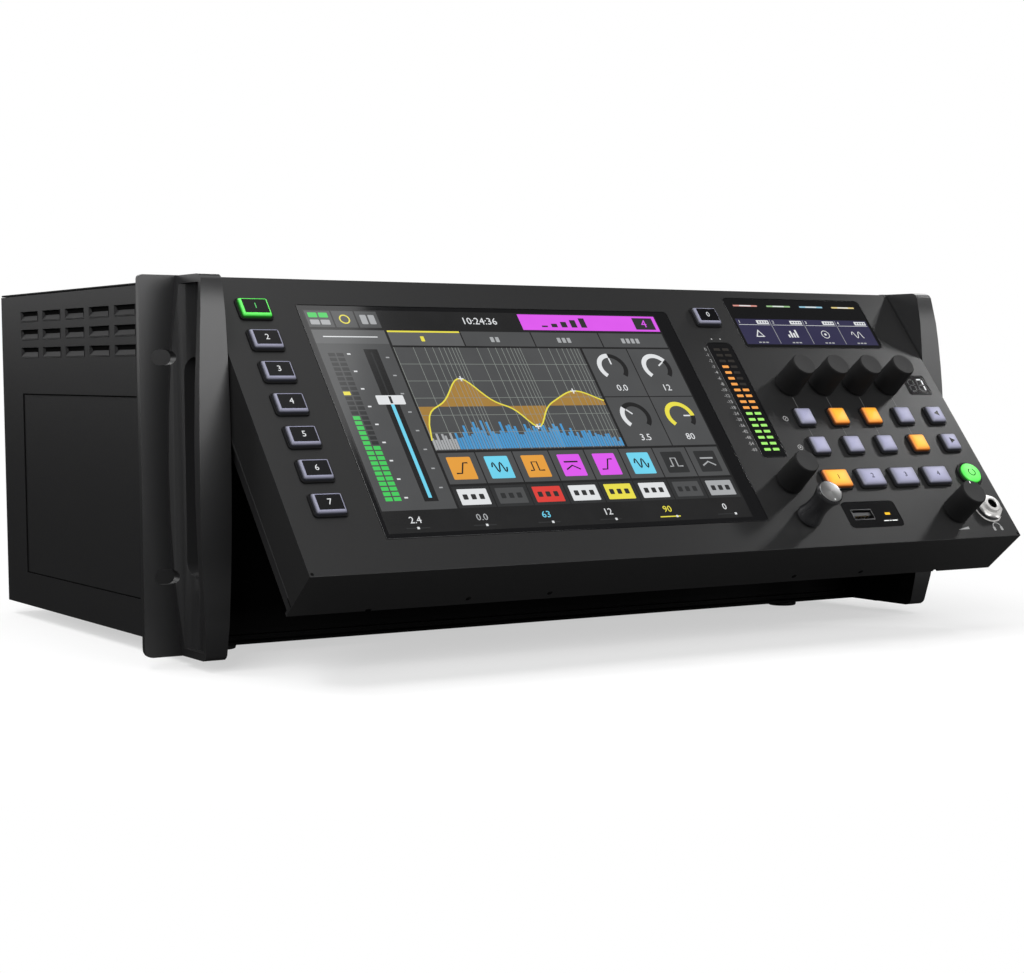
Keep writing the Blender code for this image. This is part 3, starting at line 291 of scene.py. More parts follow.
class Piece:
    """One object, gathered from lofts, turned shapes, thin figures and numerals."""

    def __init__(self, place=HERE):
        self.shape = bmesh.new()
        self.place = place

    def rings(self, levels, at):
        """Corners of outlines (points in x and y) at their heights."""
        return [[self.shape.verts.new(at @ Vector((x, y, height))) for x, y in outline] for outline, height in levels]

    def skin(self, rings, finish):
        """Faces between each ring of corners and the next; a ring of one corner is a tip."""
        sides = max(len(ring) for ring in rings)
        for low, high in zip(rings, rings[1:]):
            for index in range(sides):
                turn = ((low, index), (low, index + 1), (high, index + 1), (high, index))
                corners = list(dict.fromkeys(ring[step % len(ring)] for ring, step in turn))
                if len(corners) > 2:
                    self.shape.faces.new(corners).material_index = finish
        return self

    def loft(self, levels, finish=0, at=HERE, end_finish=None):
        """Closed solid through outlines at their heights; its last face may differ."""
        rings = self.rings(levels, at)
        self.shape.faces.new(rings[0][::-1]).material_index = finish
        self.shape.faces.new(rings[-1]).material_index = finish if end_finish is None else end_finish
        return self.skin(rings, finish)

    def tube(self, levels, finish=0, at=HERE):
        """Closed ring through outlines with as many points each, and back to the first."""
        rings = self.rings(levels, at)
        return self.skin(rings + rings[:1], finish)

    def rim(self, foot, crown, hole, low, high, finish=0, at=HERE):
        """Raised frame round a hole, its rectangles given as width, height and corner radius."""
        foot, crown, hole = (round_rect(*size) for size in (foot, crown, hole))
        return self.tube([(foot, low), (crown, high), (hole, high), (hole, low)], finish, at)

    def turn(self, profile, finish=0, at=HERE, sides=32):
        """Closed solid of revolution through (radius, height) points; the ends may lie on the axis."""
        levels = [(circle(radius, sides if radius else 1), height) for radius, height in profile]
        if profile[0][0] and profile[-1][0]:
            return self.tube(levels, finish, at)
        return self.skin(self.rings(levels, at), finish)

    def plate(self, outline, low, high, finish=0, at=HERE):
        return self.loft([(outline, low), (outline, high)], finish, at)

    def block(self, x, y, width, height, low, high, finish=0, radius=0.0, at=HERE):
        """Plate about a middle."""
        outline = round_rect(width, height, radius, 3 if radius else 0)
        return self.plate([(x + across, y + up) for across, up in outline], low, high, finish, at)

    def bar(self, left, bottom, right, top, *rest):
        """Plate between its sides."""
        return self.block((left + right) / 2, (bottom + top) / 2, right - left, top - bottom, *rest)

    def line(self, points, width, low, high, finish=0):
        """Thin raised stroke along points."""
        sides = []
        for (x, y), before, after in zip(points, points[:1] + points, points[1:] + points[-1:]):
            along = Vector((after[0] - before[0], after[1] - before[1])).normalized()
            across, up = along.y * width / 2, along.x * width / 2
            sides.append(((x + across, y - up), (x - across, y + up)))
        for (right, left), (next_right, next_left) in zip(sides, sides[1:]):
            self.plate([right, next_right, next_left, left], low, high, finish)
        return self

    def arc(self, middle, radius, start, end, width, low, high, finish=0, steps=20):
        points = [polar(radius, start + (end - start) * step / steps, middle) for step in range(steps + 1)]
        return self.line(points, width, low, high, finish)

    def numeral(self, words, x, y, size, low, high, finish=0, align="CENTER", at=HERE):
        """Numerals or signs of the built-in face, as thin solids."""
        curve = bpy.data.curves.new("numeral", "FONT")
        curve.body = words
        curve.size = size
        curve.align_x = align
        curve.align_y = "CENTER"
        curve.extrude = (high - low) / 2
        curve.resolution_u = 2
        drawn = bpy.data.objects.new("numeral", curve)
        bpy.context.scene.collection.objects.link(drawn)
        bpy.context.view_layer.update()
        mesh = bpy.data.meshes.new_from_object(drawn.evaluated_get(bpy.context.evaluated_depsgraph_get()))
        bpy.data.objects.remove(drawn, do_unlink=True)
        bpy.data.curves.remove(curve)
        mesh.transform(at @ Matrix.Translation((x, y, (low + high) / 2)))
        first = len(self.shape.faces)
        self.shape.from_mesh(mesh)
        self.shape.faces.ensure_lookup_table()
        for face in self.shape.faces[first:]:
            face.material_index = finish
        bpy.data.meshes.remove(mesh)
        return self

    def done(self, name, body, finishes, replaced=(), smooth=35.0):
        """Make the object, place it, and let it ride on its body."""
        bmesh.ops.remove_doubles(self.shape, verts=self.shape.verts, dist=1e-7)
        bmesh.ops.recalc_face_normals(self.shape, faces=self.shape.faces)
        mesh = bpy.data.meshes.new(name)
        self.shape.to_mesh(mesh)
        self.shape.free()
        spot, turn, scale = self.place.decompose()
        mesh.transform(Matrix.Diagonal((*scale, 1.0)))
        for finish in finishes:
            mesh.materials.append(finish.material)
        mesh.shade_smooth()
        mesh.set_sharp_from_angle(angle=math.radians(smooth))
        made = bpy.data.objects.new(name, mesh)
        bpy.context.scene.collection.objects.link(made)
        made.matrix_world = Matrix.LocRotScale(spot, turn, None)
        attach(made, body)
        if replaced:
            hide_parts(*replaced)


def turned_to(across, upward, outward):
    return Matrix((across, upward, outward)).transposed().to_4x4()


def facing(point, outward, upward):
    """Place in mm at a world point, with z along outward and y along upward."""
    outward = Vector(outward)
    upward = Vector(upward)
    return Matrix.Translation(point) @ turned_to(upward.cross(outward), upward, outward) @ TO_MM


def panel_face():
    """Frame on the control panel's face, in mm: x right, y up from its top edge, z out."""
    press = next(joint for joint in frame["joints"] if joint["name"] == "page_key_1_press")
    outward = -Vector(press["axis"]).normalized()
    across = Vector((1, 0, 0))
    upward = outward.cross(across)
    corners = [vertex.co for vertex in NODES["front_panel"].data.vertices]
    top = max(corner.dot(upward) for corner in corners)
    proud = max(corner.dot(outward) for corner in corners)
    return Matrix.Translation(upward * top + outward * proud) @ turned_to(across, upward, outward) @ TO_MM


FACE = panel_face()
FACE_INVERSE = FACE.inverted()


def on_face(node):
    """Lowest and highest corner of a node in face coordinates."""
    corners = [FACE_INVERSE @ vertex.co for vertex in NODES[node].data.vertices]
    return tuple(Vector([pick(corner[axis] for corner in corners) for axis in range(3)]) for pick in (min, max))


def seat(node):
    """Place on the panel's face under a node's middle, and the node's corners in face coordinates."""
    low, high = on_face(node)
    return Matrix.Translation(((low.x + high.x) / 2, (low.y + high.y) / 2, 0)), low, high


PANEL_LOW, PANEL_HIGH = on_face("front_panel")

# Shortest edge that is broken on a folded sheet
LONG_FOLD = 4.0 * MM
# Angle between faces from which an edge is sharp
SHARP = math.radians(30)


def panel_fold(middle):
    """Whether a place lies on the outer folds of the front panel, not at a window."""
    at = FACE_INVERSE @ middle
    near = 0.1
    return PANEL_HIGH.x - abs(at.x) < near or at.y - PANEL_LOW.y < near or PANEL_HIGH.y - at.y < near


def cut_beside_folds(shape):
    """Cut the front panel just inside its folds, so that rounding a fold moves no edge of a window."""
    inside = 4.0
    for axis, way in enumerate((Vector((1, 0, 0)), Vector((0, 1, 0)))):
        for reach in (PANEL_LOW[axis] + inside, PANEL_HIGH[axis] - inside):
            everything = shape.verts[:] + shape.edges[:] + shape.faces[:]
            bmesh.ops.bisect_plane(shape, geom=everything, dist=1e-6, plane_co=FACE @ (way * reach),
                                   plane_no=(FACE.to_3x3() @ way).normalized())


def softened(node, width, finish, segments=2, front=None, front_finish=None, folds=None):
    """Copy of a CAD node with its sharp edges broken, standing for it.

    Faces before y = front may have another finish. A folded sheet is shaded flat, and only its
    long edges are broken: all of them, or those that folds picks by their middle.
    """
    shape = bmesh.new()
    shape.from_mesh(NODES[node].data)
    bmesh.ops.remove_doubles(shape, verts=shape.verts, dist=1e-6)
    bmesh.ops.dissolve_limit(shape, angle_limit=math.radians(1.0), verts=shape.verts, edges=shape.edges)
    for face in shape.faces:
        face.material_index = 1 if front is not None and face.calc_center_median().y < front else 0
    if folds is panel_fold:
        cut_beside_folds(shape)
    if folds:
        weight = shape.edges.layers.float.new("bevel_weight_edge")
        for edge in shape.edges:
            middle = (edge.verts[0].co + edge.verts[1].co) / 2
            long = edge.calc_length() > LONG_FOLD and edge.is_manifold
            picked = long and edge.calc_face_angle() > SHARP and (folds is True or folds(middle))
            edge[weight] = 1.0 if picked else 0.0
    mesh = bpy.data.meshes.new(node + "_body")
    shape.to_mesh(mesh)
    shape.free()
    for made_of in (finish, front_finish):
        if made_of:
            mesh.materials.append(made_of.material)
    if folds:
        mesh.shade_flat()
    else:
        mesh.shade_smooth()
        mesh.set_sharp_from_angle(angle=SHARP)
    made = bpy.data.objects.new(node + "_body", mesh)
    bpy.context.scene.collection.objects.link(made)
    edge = made.modifiers.new("broken_edge", "BEVEL")
    edge.width = width * MM
    edge.segments = segments
    edge.limit_method = "WEIGHT" if folds else "ANGLE"
    edge.angle_limit = SHARP
    edge.use_clamp_overlap = True
    edge.harden_normals = not folds
    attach(made, BODY_OF[node])
    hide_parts(node)


SHEET_PAINT = painted("sheet_paint", grey(0.0125, 0.0130), 1500.0, 0.00004, 0.36)
COVER_PAINT = painted("cover_paint", grey(0.0125, 0.0130), 1500.0, 0.00004, 0.62, 0.12)
CAST_PAINT = painted("cast_paint", grey(0.0135, 0.0140), 2200.0, 0.00002, 0.34, 0.5)
PANEL_PAINT = painted("panel_paint", grey(0.0090, 0.0092), 1700.0, 0.00003, 0.40)
# Near-black paint on the front bulkhead and on the tray before it: painted shade in the pocket under the panel.
POCKET_SHADE_PAINT = painted("bulkhead_painted_shade", grey(0.002, 0.0021), 1500.0, 0.00003, 0.6, 0.06)
# Lighter paint for the seam lines on the panel's side walls: a painted highlight along the seam.
FOLD_HIGHLIGHT_PAINT = painted("fold_painted_highlight", grey(0.035, 0.036), 1500.0, 0.00003, 0.45)
RUBBER = moulded("foot_rubber", grey(0.012, 0.0125), 0.75, 900.0, 0.00005)
# One soft-touch rubber in two shades: the knob sides painted darker as painted shade, the tops painted lighter as
# painted light.
KNOB_SIDE_SHADED = moulded("knob_soft_touch_shaded", grey(0.0042, 0.0044), 0.68, 1600.0, 0.00003, 0.16)
KNOB_TOP_LIT = moulded("knob_top_soft_lit", grey(0.013, 0.0133), 0.66, 1600.0, 0.00003, 0.26)
COLLAR = moulded("key_collar_black", grey(0.003, 0.0033), 0.55, 1600.0, 0.00003, 0.14)
SOCKET_BLACK = moulded("socket_plastic", grey(0.02, 0.021), 0.42)
# Near-black with almost no sheen: painted shade in slots, gaps, bores, relief cuts and screw recesses, and the real
# black of the socket faces.
HOLLOW_BLACK_AND_SHADE = moulded("hollow_black_and_painted_shade", grey(0.002), 0.8, sheen=0.03)
PRINT = moulded("panel_print", grey(0.24), 0.6)
LINE_PRINT = moulded("guide_print", grey(0.06), 0.6)
WHITE_PRINT = moulded("white_print", grey(0.75), 0.55)
SPOOL_BLACK = glossy("spool_smoke", grey(0.014, 0.015), 0.14)
GLASS_BLACK = glossy("display_glass", grey(0.004, 0.0044), 0.05)
PLATE_GLOSS = glossy("socket_plate_gloss", grey(0.003, 0.0033), 0.1, 0.4)
KEY_WINDOW = glossy("key_window", grey(0.003, 0.0036), 0.2, 0.12)
CHROME = metal("nut_chrome", (0.66, 0.65, 0.635, 1), 0.36, (700.0, 700.0, 90.0), 0.45)
STEEL = metal("zinc_steel", grey(0.5, 0.51), 0.32, (90.0, 900.0, 900.0))
BLACK_STEEL = metal("blackened_screw", grey(0.08, 0.082), 0.4, (1200.0, 1200.0, 1200.0))
GOLD = metal("contact_gold", (0.72, 0.5, 0.17, 1), 0.25, (900.0, 900.0, 900.0))
TURNED = turned_metal("spool_top", grey(0.4), 0.32)
BOARD = board_finish("circuit_board")
LAVENDER = cap_finish("key_lavender", rgb(84, 85, 98), rgb(131, 131, 155), 0.34)
AMBER = cap_finish("key_amber", rgb(190, 98, 10), rgb(210, 156, 44), 0.44)
KEY_GREEN = cap_finish("key_green", rgb(44, 184, 48), rgb(92, 212, 86), 0.48)

GLOWS = {
    "white": (228, 230, 232), "pale": (170, 172, 174), "tile": (74, 75, 76), "deep": (38, 39, 40),
    "header": (92, 93, 94), "grid": (138, 144, 138), "ground": (16, 16, 17), "magenta": (226, 88, 242),
    "yellow": (238, 226, 74), "amber": (232, 160, 58), "ochre": (166, 126, 56), "cyan": (112, 214, 242),
    "blue": (70, 152, 208), "green": (66, 206, 92), "red": (222, 60, 52), "navy": (40, 37, 72),
}
LIT = {name: lit("glow_" + name, rgb(*colour)) for name, colour in GLOWS.items()}
# The unlit meter lamps and unlit segments still glow faintly: painted light.
for name, colour, strength in (("led_orange", (246, 162, 76), 1.1), ("led_green", (162, 238, 112), 1.1),
                               ("usb_lamp", (255, 196, 40), 1.2), ("led_off_painted_glow", (40, 36, 32), 1.0),
                               ("bar_pale_red", (216, 146, 136), 1.0), ("bar_pale_green", (152, 192, 138), 1.0),
                               ("bar_pale_blue", (150, 200, 222), 1.0), ("bar_pale_yellow", (228, 206, 138), 1.0),
                               ("segment_off_painted_glow", (44, 44, 44), 1.0)):
    LIT[name] = lit(name, rgb(*colour), strength)
LIT_FINISHES = list(LIT.values())


def shade(name):
    """Place of a glowing finish in the list that each display carries."""
    return list(LIT).index(name)


def case_finishes():
    """Broken edges and paint on the sheet metal and castings; finishes on the rest."""
    softened("front_panel", 1.0, PANEL_PAINT, 4, folds=panel_fold)
    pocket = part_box("front_bulkhead")[1].y
    softened("panel_back", 0.3, SHEET_PAINT, folds=True)
    # The tray's faces before the bulkhead take the near-black paint as painted shade.
    softened("chassis_tray", 0.3, SHEET_PAINT, 2, pocket, POCKET_SHADE_PAINT, folds=True)
    softened("front_bulkhead", 0.3, POCKET_SHADE_PAINT, folds=True)
    softened("rear_panel", 0.3, SHEET_PAINT, folds=True)
    softened("top_cover", 0.3, COVER_PAINT, folds=True)
    for node in ("left_ear", "right_ear"):
        softened(node, 0.5, CAST_PAINT, 3)
    for node in ("input_block", "output_block", "network_block", "mains_inlet"):
        softened(node, 0.3, SOCKET_BLACK, folds=True)
    for node in NODES:
        if node.startswith("foot_"):
            softened(node, 0.6, RUBBER)
    for node, finish in (("main_board", BOARD), ("control_board", BOARD), ("power_supply", STEEL),
                         ("display_module", STEEL), ("left_hinge_pin", STEEL), ("right_hinge_pin", STEEL)):
        NODES[node].data.materials.clear()
        NODES[node].data.materials.append(finish.material)


# Chassis sides in mm: louvres and the recess under them start this far before the rear
CHASSIS_HEIGHT = 172.0
SIDE_INSET = 32.6
LOUVRE_PITCH = 34.6
LOUVRE_ROW_PITCH = 9.8
LOUVRE_TOP_INSET = 8.8
RECESS_BOTTOM = 18.4
RECESS_TOP = 118.4
RECESS_LENGTH = 165.4
RECESS_DEPTH = 0.6


def louvre_pans():
    """Pressed pan in each louvre: a slope and cheeks that lead to a near-black face under its upper edge, painted shade
    that stands for the slot.
    """
    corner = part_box("chassis_tray")[1] / MM
    half, rise = 13.45, 2.45
    rim = [(-half, -rise), (half, -rise), (half, rise), (-half, rise)]
    slot = [(1.6 - half, 0.0), (half - 1.6, 0.0), (half - 0.5, rise - 0.1), (0.5 - half, rise - 0.1)]
    pans = Piece()
    for side in (-1, 1):
        for column in range(5):
            for row in range(3):
                y = corner.y - SIDE_INSET - half - column * LOUVRE_PITCH
                z = corner.z - LOUVRE_TOP_INSET - 2.5 - row * LOUVRE_ROW_PITCH
                at = facing(Vector((side * corner.x, y, z)) * MM, (side, 0, 0), UP)
                pans.loft([(rim, -2.0), (rim, -0.06), (slot, -1.35)], 0, at, 1)
    pans.done("louvre_pans", "chassis", [SHEET_PAINT, HOLLOW_BLACK_AND_SHADE], smooth=10.0)


def recess_shade_strips():
    """Near-black strips round the shallow recess in each side of the chassis: painted shade along its edges."""
    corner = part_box("chassis_tray")[1] / MM
    bottom = corner.z - CHASSIS_HEIGHT + RECESS_BOTTOM
    top = corner.z - CHASSIS_HEIGHT + RECESS_TOP
    rear = corner.y - SIDE_INSET
    front = rear - RECESS_LENGTH
    gap = 0.7
    floor = corner.x - RECESS_DEPTH
    shade_strips = Piece(TO_MM)
    for side in (-1, 1):
        inner, outer = sorted((side * (floor - 0.1), side * (floor + 0.05)))
        for y1, y2, z1, z2 in ((front, rear, top - gap, top), (front, rear, bottom, bottom + gap),
                               (rear - gap, rear, bottom + gap, top - gap),
                               (front, front + gap, bottom + gap, top - gap)):
            shade_strips.bar(inner, y1, outer, y2, z1, z2)
    shade_strips.done("recess_shade_strips", "chassis", [HOLLOW_BLACK_AND_SHADE])


def wall_seams():
    """Seam between the panel's side walls and its rear tray, drawn as a lighter strip that is a painted highlight, and
    a near-black slit at its lower end as painted shade.
    """
    seams = Piece(FACE)
    for side in (-1, 1):
        inner, outer = sorted((side * (PANEL_HIGH.x - 0.2), side * (PANEL_HIGH.x + 0.06)))
        # Lighter strip: painted highlight along the seam.
        seams.bar(inner, PANEL_LOW.y + 5.0, outer, PANEL_HIGH.y - 3.0, -23.15, -22.85)
        # Near-black bar: painted shade of the notch at the seam's lower end.
        seams.bar(inner, PANEL_LOW.y + 0.8, outer, PANEL_LOW.y + 5.4, -24.0, -23.4, 1)
    seams.done("wall_seams", "tilt_panel", [FOLD_HIGHLIGHT_PAINT, HOLLOW_BLACK_AND_SHADE])


def keys():
    """Caps in dark collars; the page caps carry a black window with a numeral."""
    lit_caps = {"page_key_1": KEY_GREEN, "round_key": KEY_GREEN, "mute_key_2": AMBER, "mute_key_3": AMBER,
                "solo_key_4": AMBER, "bank_key_1": AMBER}
    foot = -1.4
    corner = 1.0
    collars = Piece(FACE)
    for node in sorted(NODES):
        if "_key" not in node:
            continue
        at, low, high = seat(node)
        width, height, _ = high - low
        top = high.z
        cap = Piece(FACE @ at)
        if node == "round_key":
            radius = width / 2
            cap.turn([(0, foot), (radius, foot), (radius, top - 0.9), (radius - 0.2, top - 0.6),
                      (radius - 0.75, top - 0.06), (radius - 0.95, top), (0, top)], sides=48)
            collars.turn([(radius + 0.25, 0.0), (radius + 1.6, 0.0), (radius + 1.45, 1.0), (radius + 0.3, 1.0)],
                         at=at, sides=48)
        else:
            levels = ((0, foot), (0, top - 1.15), (0.22, top - 0.8), (0.95, top - 0.12), (1.25, top))
            cap.loft([(round_rect(width - 2 * inset, height - 2 * inset, max(corner - inset * 0.4, 0.3)), level)
                      for inset, level in levels])
            collars.rim((width + 2.3, height + 2.3, corner + 1.0), (width + 2.0, height + 2.0, corner + 0.9),
                        (width + 0.4, height + 0.4, corner + 0.2), 0.0, 0.8, 0, at)
        kind = node.split("_")[0]
        finish = lit_caps.get(node, LAVENDER)
        finishes = [finish, KEY_WINDOW]
        if kind in ("page", "clear"):
            finishes.append(LIT["green" if finish is KEY_GREEN else "white"])
            cap.block(0, 0, width - 2.6, height - 2.6, top - 0.05, top + 0.05, 1, 0.3)
            cap.numeral(node[-1] if kind == "page" else "0", 0, 0, 4.6, top + 0.04, top + 0.09, 2)
        elif kind == "bank":
            cap.numeral(node[-1], 0, 0, 4.2, top - 0.02, top + 0.05, 1)
        elif kind == "round":
            cap.arc((0, 0), 2.2, 120, 420, 0.55, top - 0.02, top + 0.06, 1, 18)
        elif node.endswith("5"):
            side = -1 if kind == "mute" else 1
            cap.plate([(side * 2.2, 0), (-side * 1.2, 1.9), (-side * 1.2, -1.9)], top - 0.02, top + 0.06, 1)
        else:
            finishes.pop()
        cap.done(node + "_cap", BODY_OF[node], finishes, (node,))
    collars.done("key_collars", "tilt_panel", [COLLAR])


def spool(piece, radius, foot, top):
    """Waisted knob with a turned metal top."""
    waist = radius * 0.79
    profile = [(0, foot), (radius - 0.8, foot), (radius - 0.3, foot + 0.5), (radius - 0.3, foot + 1.6)]
    steps = 14
    for step in range(1, steps):
        share = step / steps
        bow = (radius - waist) * math.sin(math.pi * share) ** 0.9
        profile.append((radius - 0.3 * (1 - share) - bow, foot + 1.6 + (top - foot - 4.0) * share))
    profile += [(radius, top - 2.4), (radius, top - 0.9), (radius - 0.3, top - 0.35), (radius - 0.6, top - 0.3),
                (0, top - 0.3)]
    piece.turn(profile, 0, sides=64)
    piece.turn([(0, top - 0.4), (radius - 0.7, top - 0.4), (radius - 0.9, top - 0.05), (radius - 1.2, top), (0, top)],
               1, sides=64)
    piece.plate(circle(0.45, 12, (0, -radius + 2.0)), top - 0.05, top + 0.04, 2)


def soft_knob(piece, radius, foot, top, taper):
    """Tapered soft-touch knob with a rolled rim and a faintly dished top."""
    rim = radius - taper
    piece.turn([(0, foot), (radius - 0.35, foot), (radius, foot + 0.5), (radius - taper * 0.5, (foot + top) / 2),
                (rim, top - 0.8), (rim - 0.15, top - 0.35), (rim - 0.4, top - 0.1), (rim - 0.6, top - 0.3),
                (0, top - 0.3)], sides=56)
    piece.turn([(0, top - 0.4), (rim - 0.45, top - 0.4), (rim - 0.45, top - 0.05), (rim - 0.7, top),
                (rim - 1.3, top - 0.08), (0, top - 0.15)], 1, sides=56)


def knobs():
    foot = 0.5
    for node in ("encoder_1", "encoder_2", "encoder_3", "encoder_4", "select_encoder", "level_knob", "main_encoder"):
        at, low, high = seat(node)
        radius = (high.x - low.x) / 2
        top = high.z
        piece = Piece(FACE @ at)
        # Sides in the darker shade and tops in the lighter one: painted shade and painted light on one rubber.
        finishes = [KNOB_SIDE_SHADED, KNOB_TOP_LIT]
        if node == "main_encoder":
            finishes = [SPOOL_BLACK, TURNED, WHITE_PRINT]
            spool(piece, radius, foot, top)
        elif node == "level_knob":
            finishes.append(WHITE_PRINT)
            soft_knob(piece, radius, foot, top, 0.25)
            tip = radius - 0.3
            piece.bar(-0.28, tip * 0.72, 0.28, tip - 0.75, top - 0.3, top + 0.03, 2)
            piece.bar(-0.3, tip - 0.35, 0.3, tip + 0.1, top - 3.0, top - 0.8, 2)
        else:
            soft_knob(piece, radius, foot, top, 0.7)
        piece.turn([(0, -1.8), (2.8, -1.8), (2.8, foot + 0.1), (0, foot + 0.1)], 0, sides=24)
        piece.done(node + "_grip", BODY_OF[node], finishes, (node,))


def jack():
    """Chrome nut and sleeve on a black washer, with a dark bore."""
    at, _, _ = seat("jack_nut")
    nut = Piece(FACE @ at)
    nut.turn([(5.2, -0.05), (8.75, -0.05), (8.75, 0.12), (8.6, 0.25), (5.2, 0.25)], 0, sides=48)
    nut.turn([(5.2, 0.2), (8.0, 0.2), (8.0, 1.9), (5.2, 1.9)], 1, sides=48)
    flats = 7.3
    corners = 8.15
    hexagon = []
    for step in range(48):
        degrees = 7.5 * step
        aside = math.radians((degrees + 16) % 60 - 30)
        hexagon.append(polar(min(flats / math.cos(aside), corners), degrees))
    hole = circle(5.0, 48)
    nut.tube([(hexagon, 1.9), (hexagon, 2.5), (circle(7.0, 48), 3.0), (circle(6.4, 48), 3.1), (hole, 3.1), (hole, 1.9)])
    nut.done("jack_nut_ring", "tilt_panel", [CHROME, SOCKET_BLACK], ("jack_nut",))
    sleeve = Piece(FACE @ at)
    top = on_face("headphone_jack")[1].z
    sleeve.turn([(2.9, -7.0), (4.95, -7.0), (4.95, top - 0.5), (4.7, top - 0.1), (4.4, top), (3.15, top),
                 (2.9, top - 0.3)], 0, sides=48)
    # Bottom and wall of the bore in near-black: its black plastic and painted shade.
    sleeve.turn([(0, -7.1), (2.95, -7.1), (2.95, -6.6), (0, -6.6)], 1)
    sleeve.turn([(2.6, -6.6), (2.88, -6.6), (2.88, top - 0.7), (2.6, top - 0.7)], 1)
    sleeve.bar(-0.45, 1.9, 0.45, 2.65, -6.6, 1.5, 2)
    sleeve.done("headphone_sleeve", "tilt_panel", [CHROME, HOLLOW_BLACK_AND_SHADE, GOLD], ("headphone_jack",))


def usb():
    """Gloss plate with a framed port, its tongue and contacts, and a small lamp."""
    low, high = on_face("usb_socket")
    y = (low.y + high.y) / 2
    left = low.x + 4.6
    right = left + 13.2
    piece = Piece(FACE)
    outer = (14.0, 6.7, 0.7)
    piece.rim(outer, outer, (12.9, 5.6, 0.35), -5.8, 0.25, 0, Matrix.Translation(((left + right) / 2, y, 0)))
    piece.bar(left + 0.6, y - 0.2, right - 0.6, y + 1.7, -5.8, -0.6, 1, 0.2)
    for contact in range(4):
        piece.block(left + 3.15 + contact * 2.5, y - 0.25, 1.1, 0.14, -5.4, -1.1, 2)
    lamp_x = low.x + 28.2
    piece.block(lamp_x, y, 3.4, 1.4, -0.1, 0.12, 3, 0.25)
    for start, end in ((-4.6, -1.2), (-0.6, 0.4), (1.0, 4.6)):
        piece.bar(lamp_x + start, y - 4.6, lamp_x + end, y - 4.1, -0.05, 0.05, 4)
    finishes = [BLACK_STEEL, SOCKET_BLACK, GOLD, LIT["usb_lamp"], WHITE_PRINT]
    piece.done("usb_port_parts", "tilt_panel", finishes)
    softened("usb_socket", 0.25, PLATE_GLOSS)


# Bottom and top of print on the panel's face
PRINTED = (-0.01, 0.04)


def level_meter():
    """Two ladders of lamps behind the meter glass, and their scale on the panel."""
    low, high = on_face("meter_lens")
    numbers = (0, 1, 2, 3, 4, 6, 8, 10, 12, 15, 18, 24, 30, 36, 42, 48, 54, 60)
    first = high.y - 4.6
    pitch = (high.y - low.y - 9.6) / (len(numbers) - 1)
    orange_until = 11
    lamps = Piece(FACE)
    scale = Piece(FACE)
    for side, dark_rows in ((-0.5, 3), (0.5, 7)):
        x = (low.x + high.x) / 2 + side * 5.7
        scale.plate(circle(0.5, 10, (x, high.y + 2.6)), *PRINTED)
        for row in range(len(numbers)):
            # Rows past the reading are unlit lamps whose faint glow is painted light.
            tone = "led_off_painted_glow" if row < dark_rows else "led_orange" if row < orange_until else "led_green"
            lamps.block(x, first - row * pitch, 4.0, 1.6, -0.05, 0.1, shade(tone), 0.25)
    for row, number in enumerate(numbers):
        scale.numeral(f"-{number}" if number else "0", low.x - 1.6, first - row * pitch, 2.9, *PRINTED, 0, "RIGHT")
    lamps.done("meter_lamps", "tilt_panel", LIT_FINISHES)
    scale.done("meter_scale", "tilt_panel", [PRINT])
    softened("meter_lens", 0.25, GLASS_BLACK)


def guide_lines():
    """Printed lines that tie each encoder to its keys, and plain signs for the rows, the level and the jack."""
    piece = Piece(FACE)
    thin = 0.35
    for index in range(1, 5):
        knob_low, knob_high = on_face(f"encoder_{index}")
        upper_low, upper_high = on_face(f"mute_key_{index}")
        lower_high = on_face(f"solo_key_{index}")[1]
        x = (knob_low.x + knob_high.x) / 2
        for bottom, top in ((upper_high.y + 1.2, knob_low.y - 0.3), (lower_high.y + 1.2, upper_low.y - 1.2)):
            piece.bar(x - thin / 2, bottom, x + thin / 2, top, *PRINTED, 1)
    for node in ("mute_key_1", "solo_key_1"):
        low, high = on_face(node)
        x = low.x - 7.0
        y = (low.y + high.y) / 2
        piece.arc((x, y), 1.5, 0, 360, thin, *PRINTED)
        if node == "mute_key_1":
            piece.line([(x - 1.05, y - 1.05), (x + 1.05, y + 1.05)], thin, *PRINTED)
        else:
            piece.plate(circle(0.6, 12, (x, y)), *PRINTED)
    low, high = on_face("level_knob")
    x = (low.x + high.x) / 2
    y = low.y - 3.8
    piece.plate([(x - 4.0, y), (x + 4.0, y), (x + 4.0, y + 1.7)], *PRINTED)
    low, high = on_face("jack_nut")
    x = (low.x + high.x) / 2
    y = low.y - 4.6
    piece.arc((x, y), 2.7, 0, 180, 0.55, *PRINTED, 0, 16)
    for side in (-1, 1):
        piece.block(x + side * 2.6, y - 1.05, 1.6, 2.5, *PRINTED, 0, 0.4)
    piece.done("panel_signs", "tilt_panel", [PRINT, LINE_PRINT])


def window_corners():
    """Small painted fillets that round the corners of the windows, and near-black discs at the lip that are painted
    shade where its relief cuts are.
    """
    piece = Piece(FACE)
    lap = 0.2
    for node, radius in (("touch_screen", 1.0), ("scribble_display", 2.4), ("meter_lens", 2.0), ("usb_socket", 2.0),
                         ("layer_display", 0.6)):
        low, high = on_face(node)
        for x, along in ((low.x, 1), (high.x, -1)):
            for y, up in ((low.y, 1), (high.y, -1)):
                outline = [(-lap, -lap), (radius, -lap)]
                outline += [polar(radius, 270 - 15 * step, (radius, radius)) for step in range(7)]
                outline.append((-lap, radius))
                piece.plate([(x + across * along, y + rise * up) for across, rise in outline], -0.3, 0.06)
    for side in (-1, 1):
        # Near-black disc: painted shade for the relief cut at the lip's end.
        piece.plate(circle(0.8, 14, (side * (PANEL_HIGH.x - 1.5), PANEL_LOW.y + 1.4)), -0.5, 0.03, 1)
    piece.done("window_corner_fillets", "tilt_panel", [PANEL_PAINT, HOLLOW_BLACK_AND_SHADE])


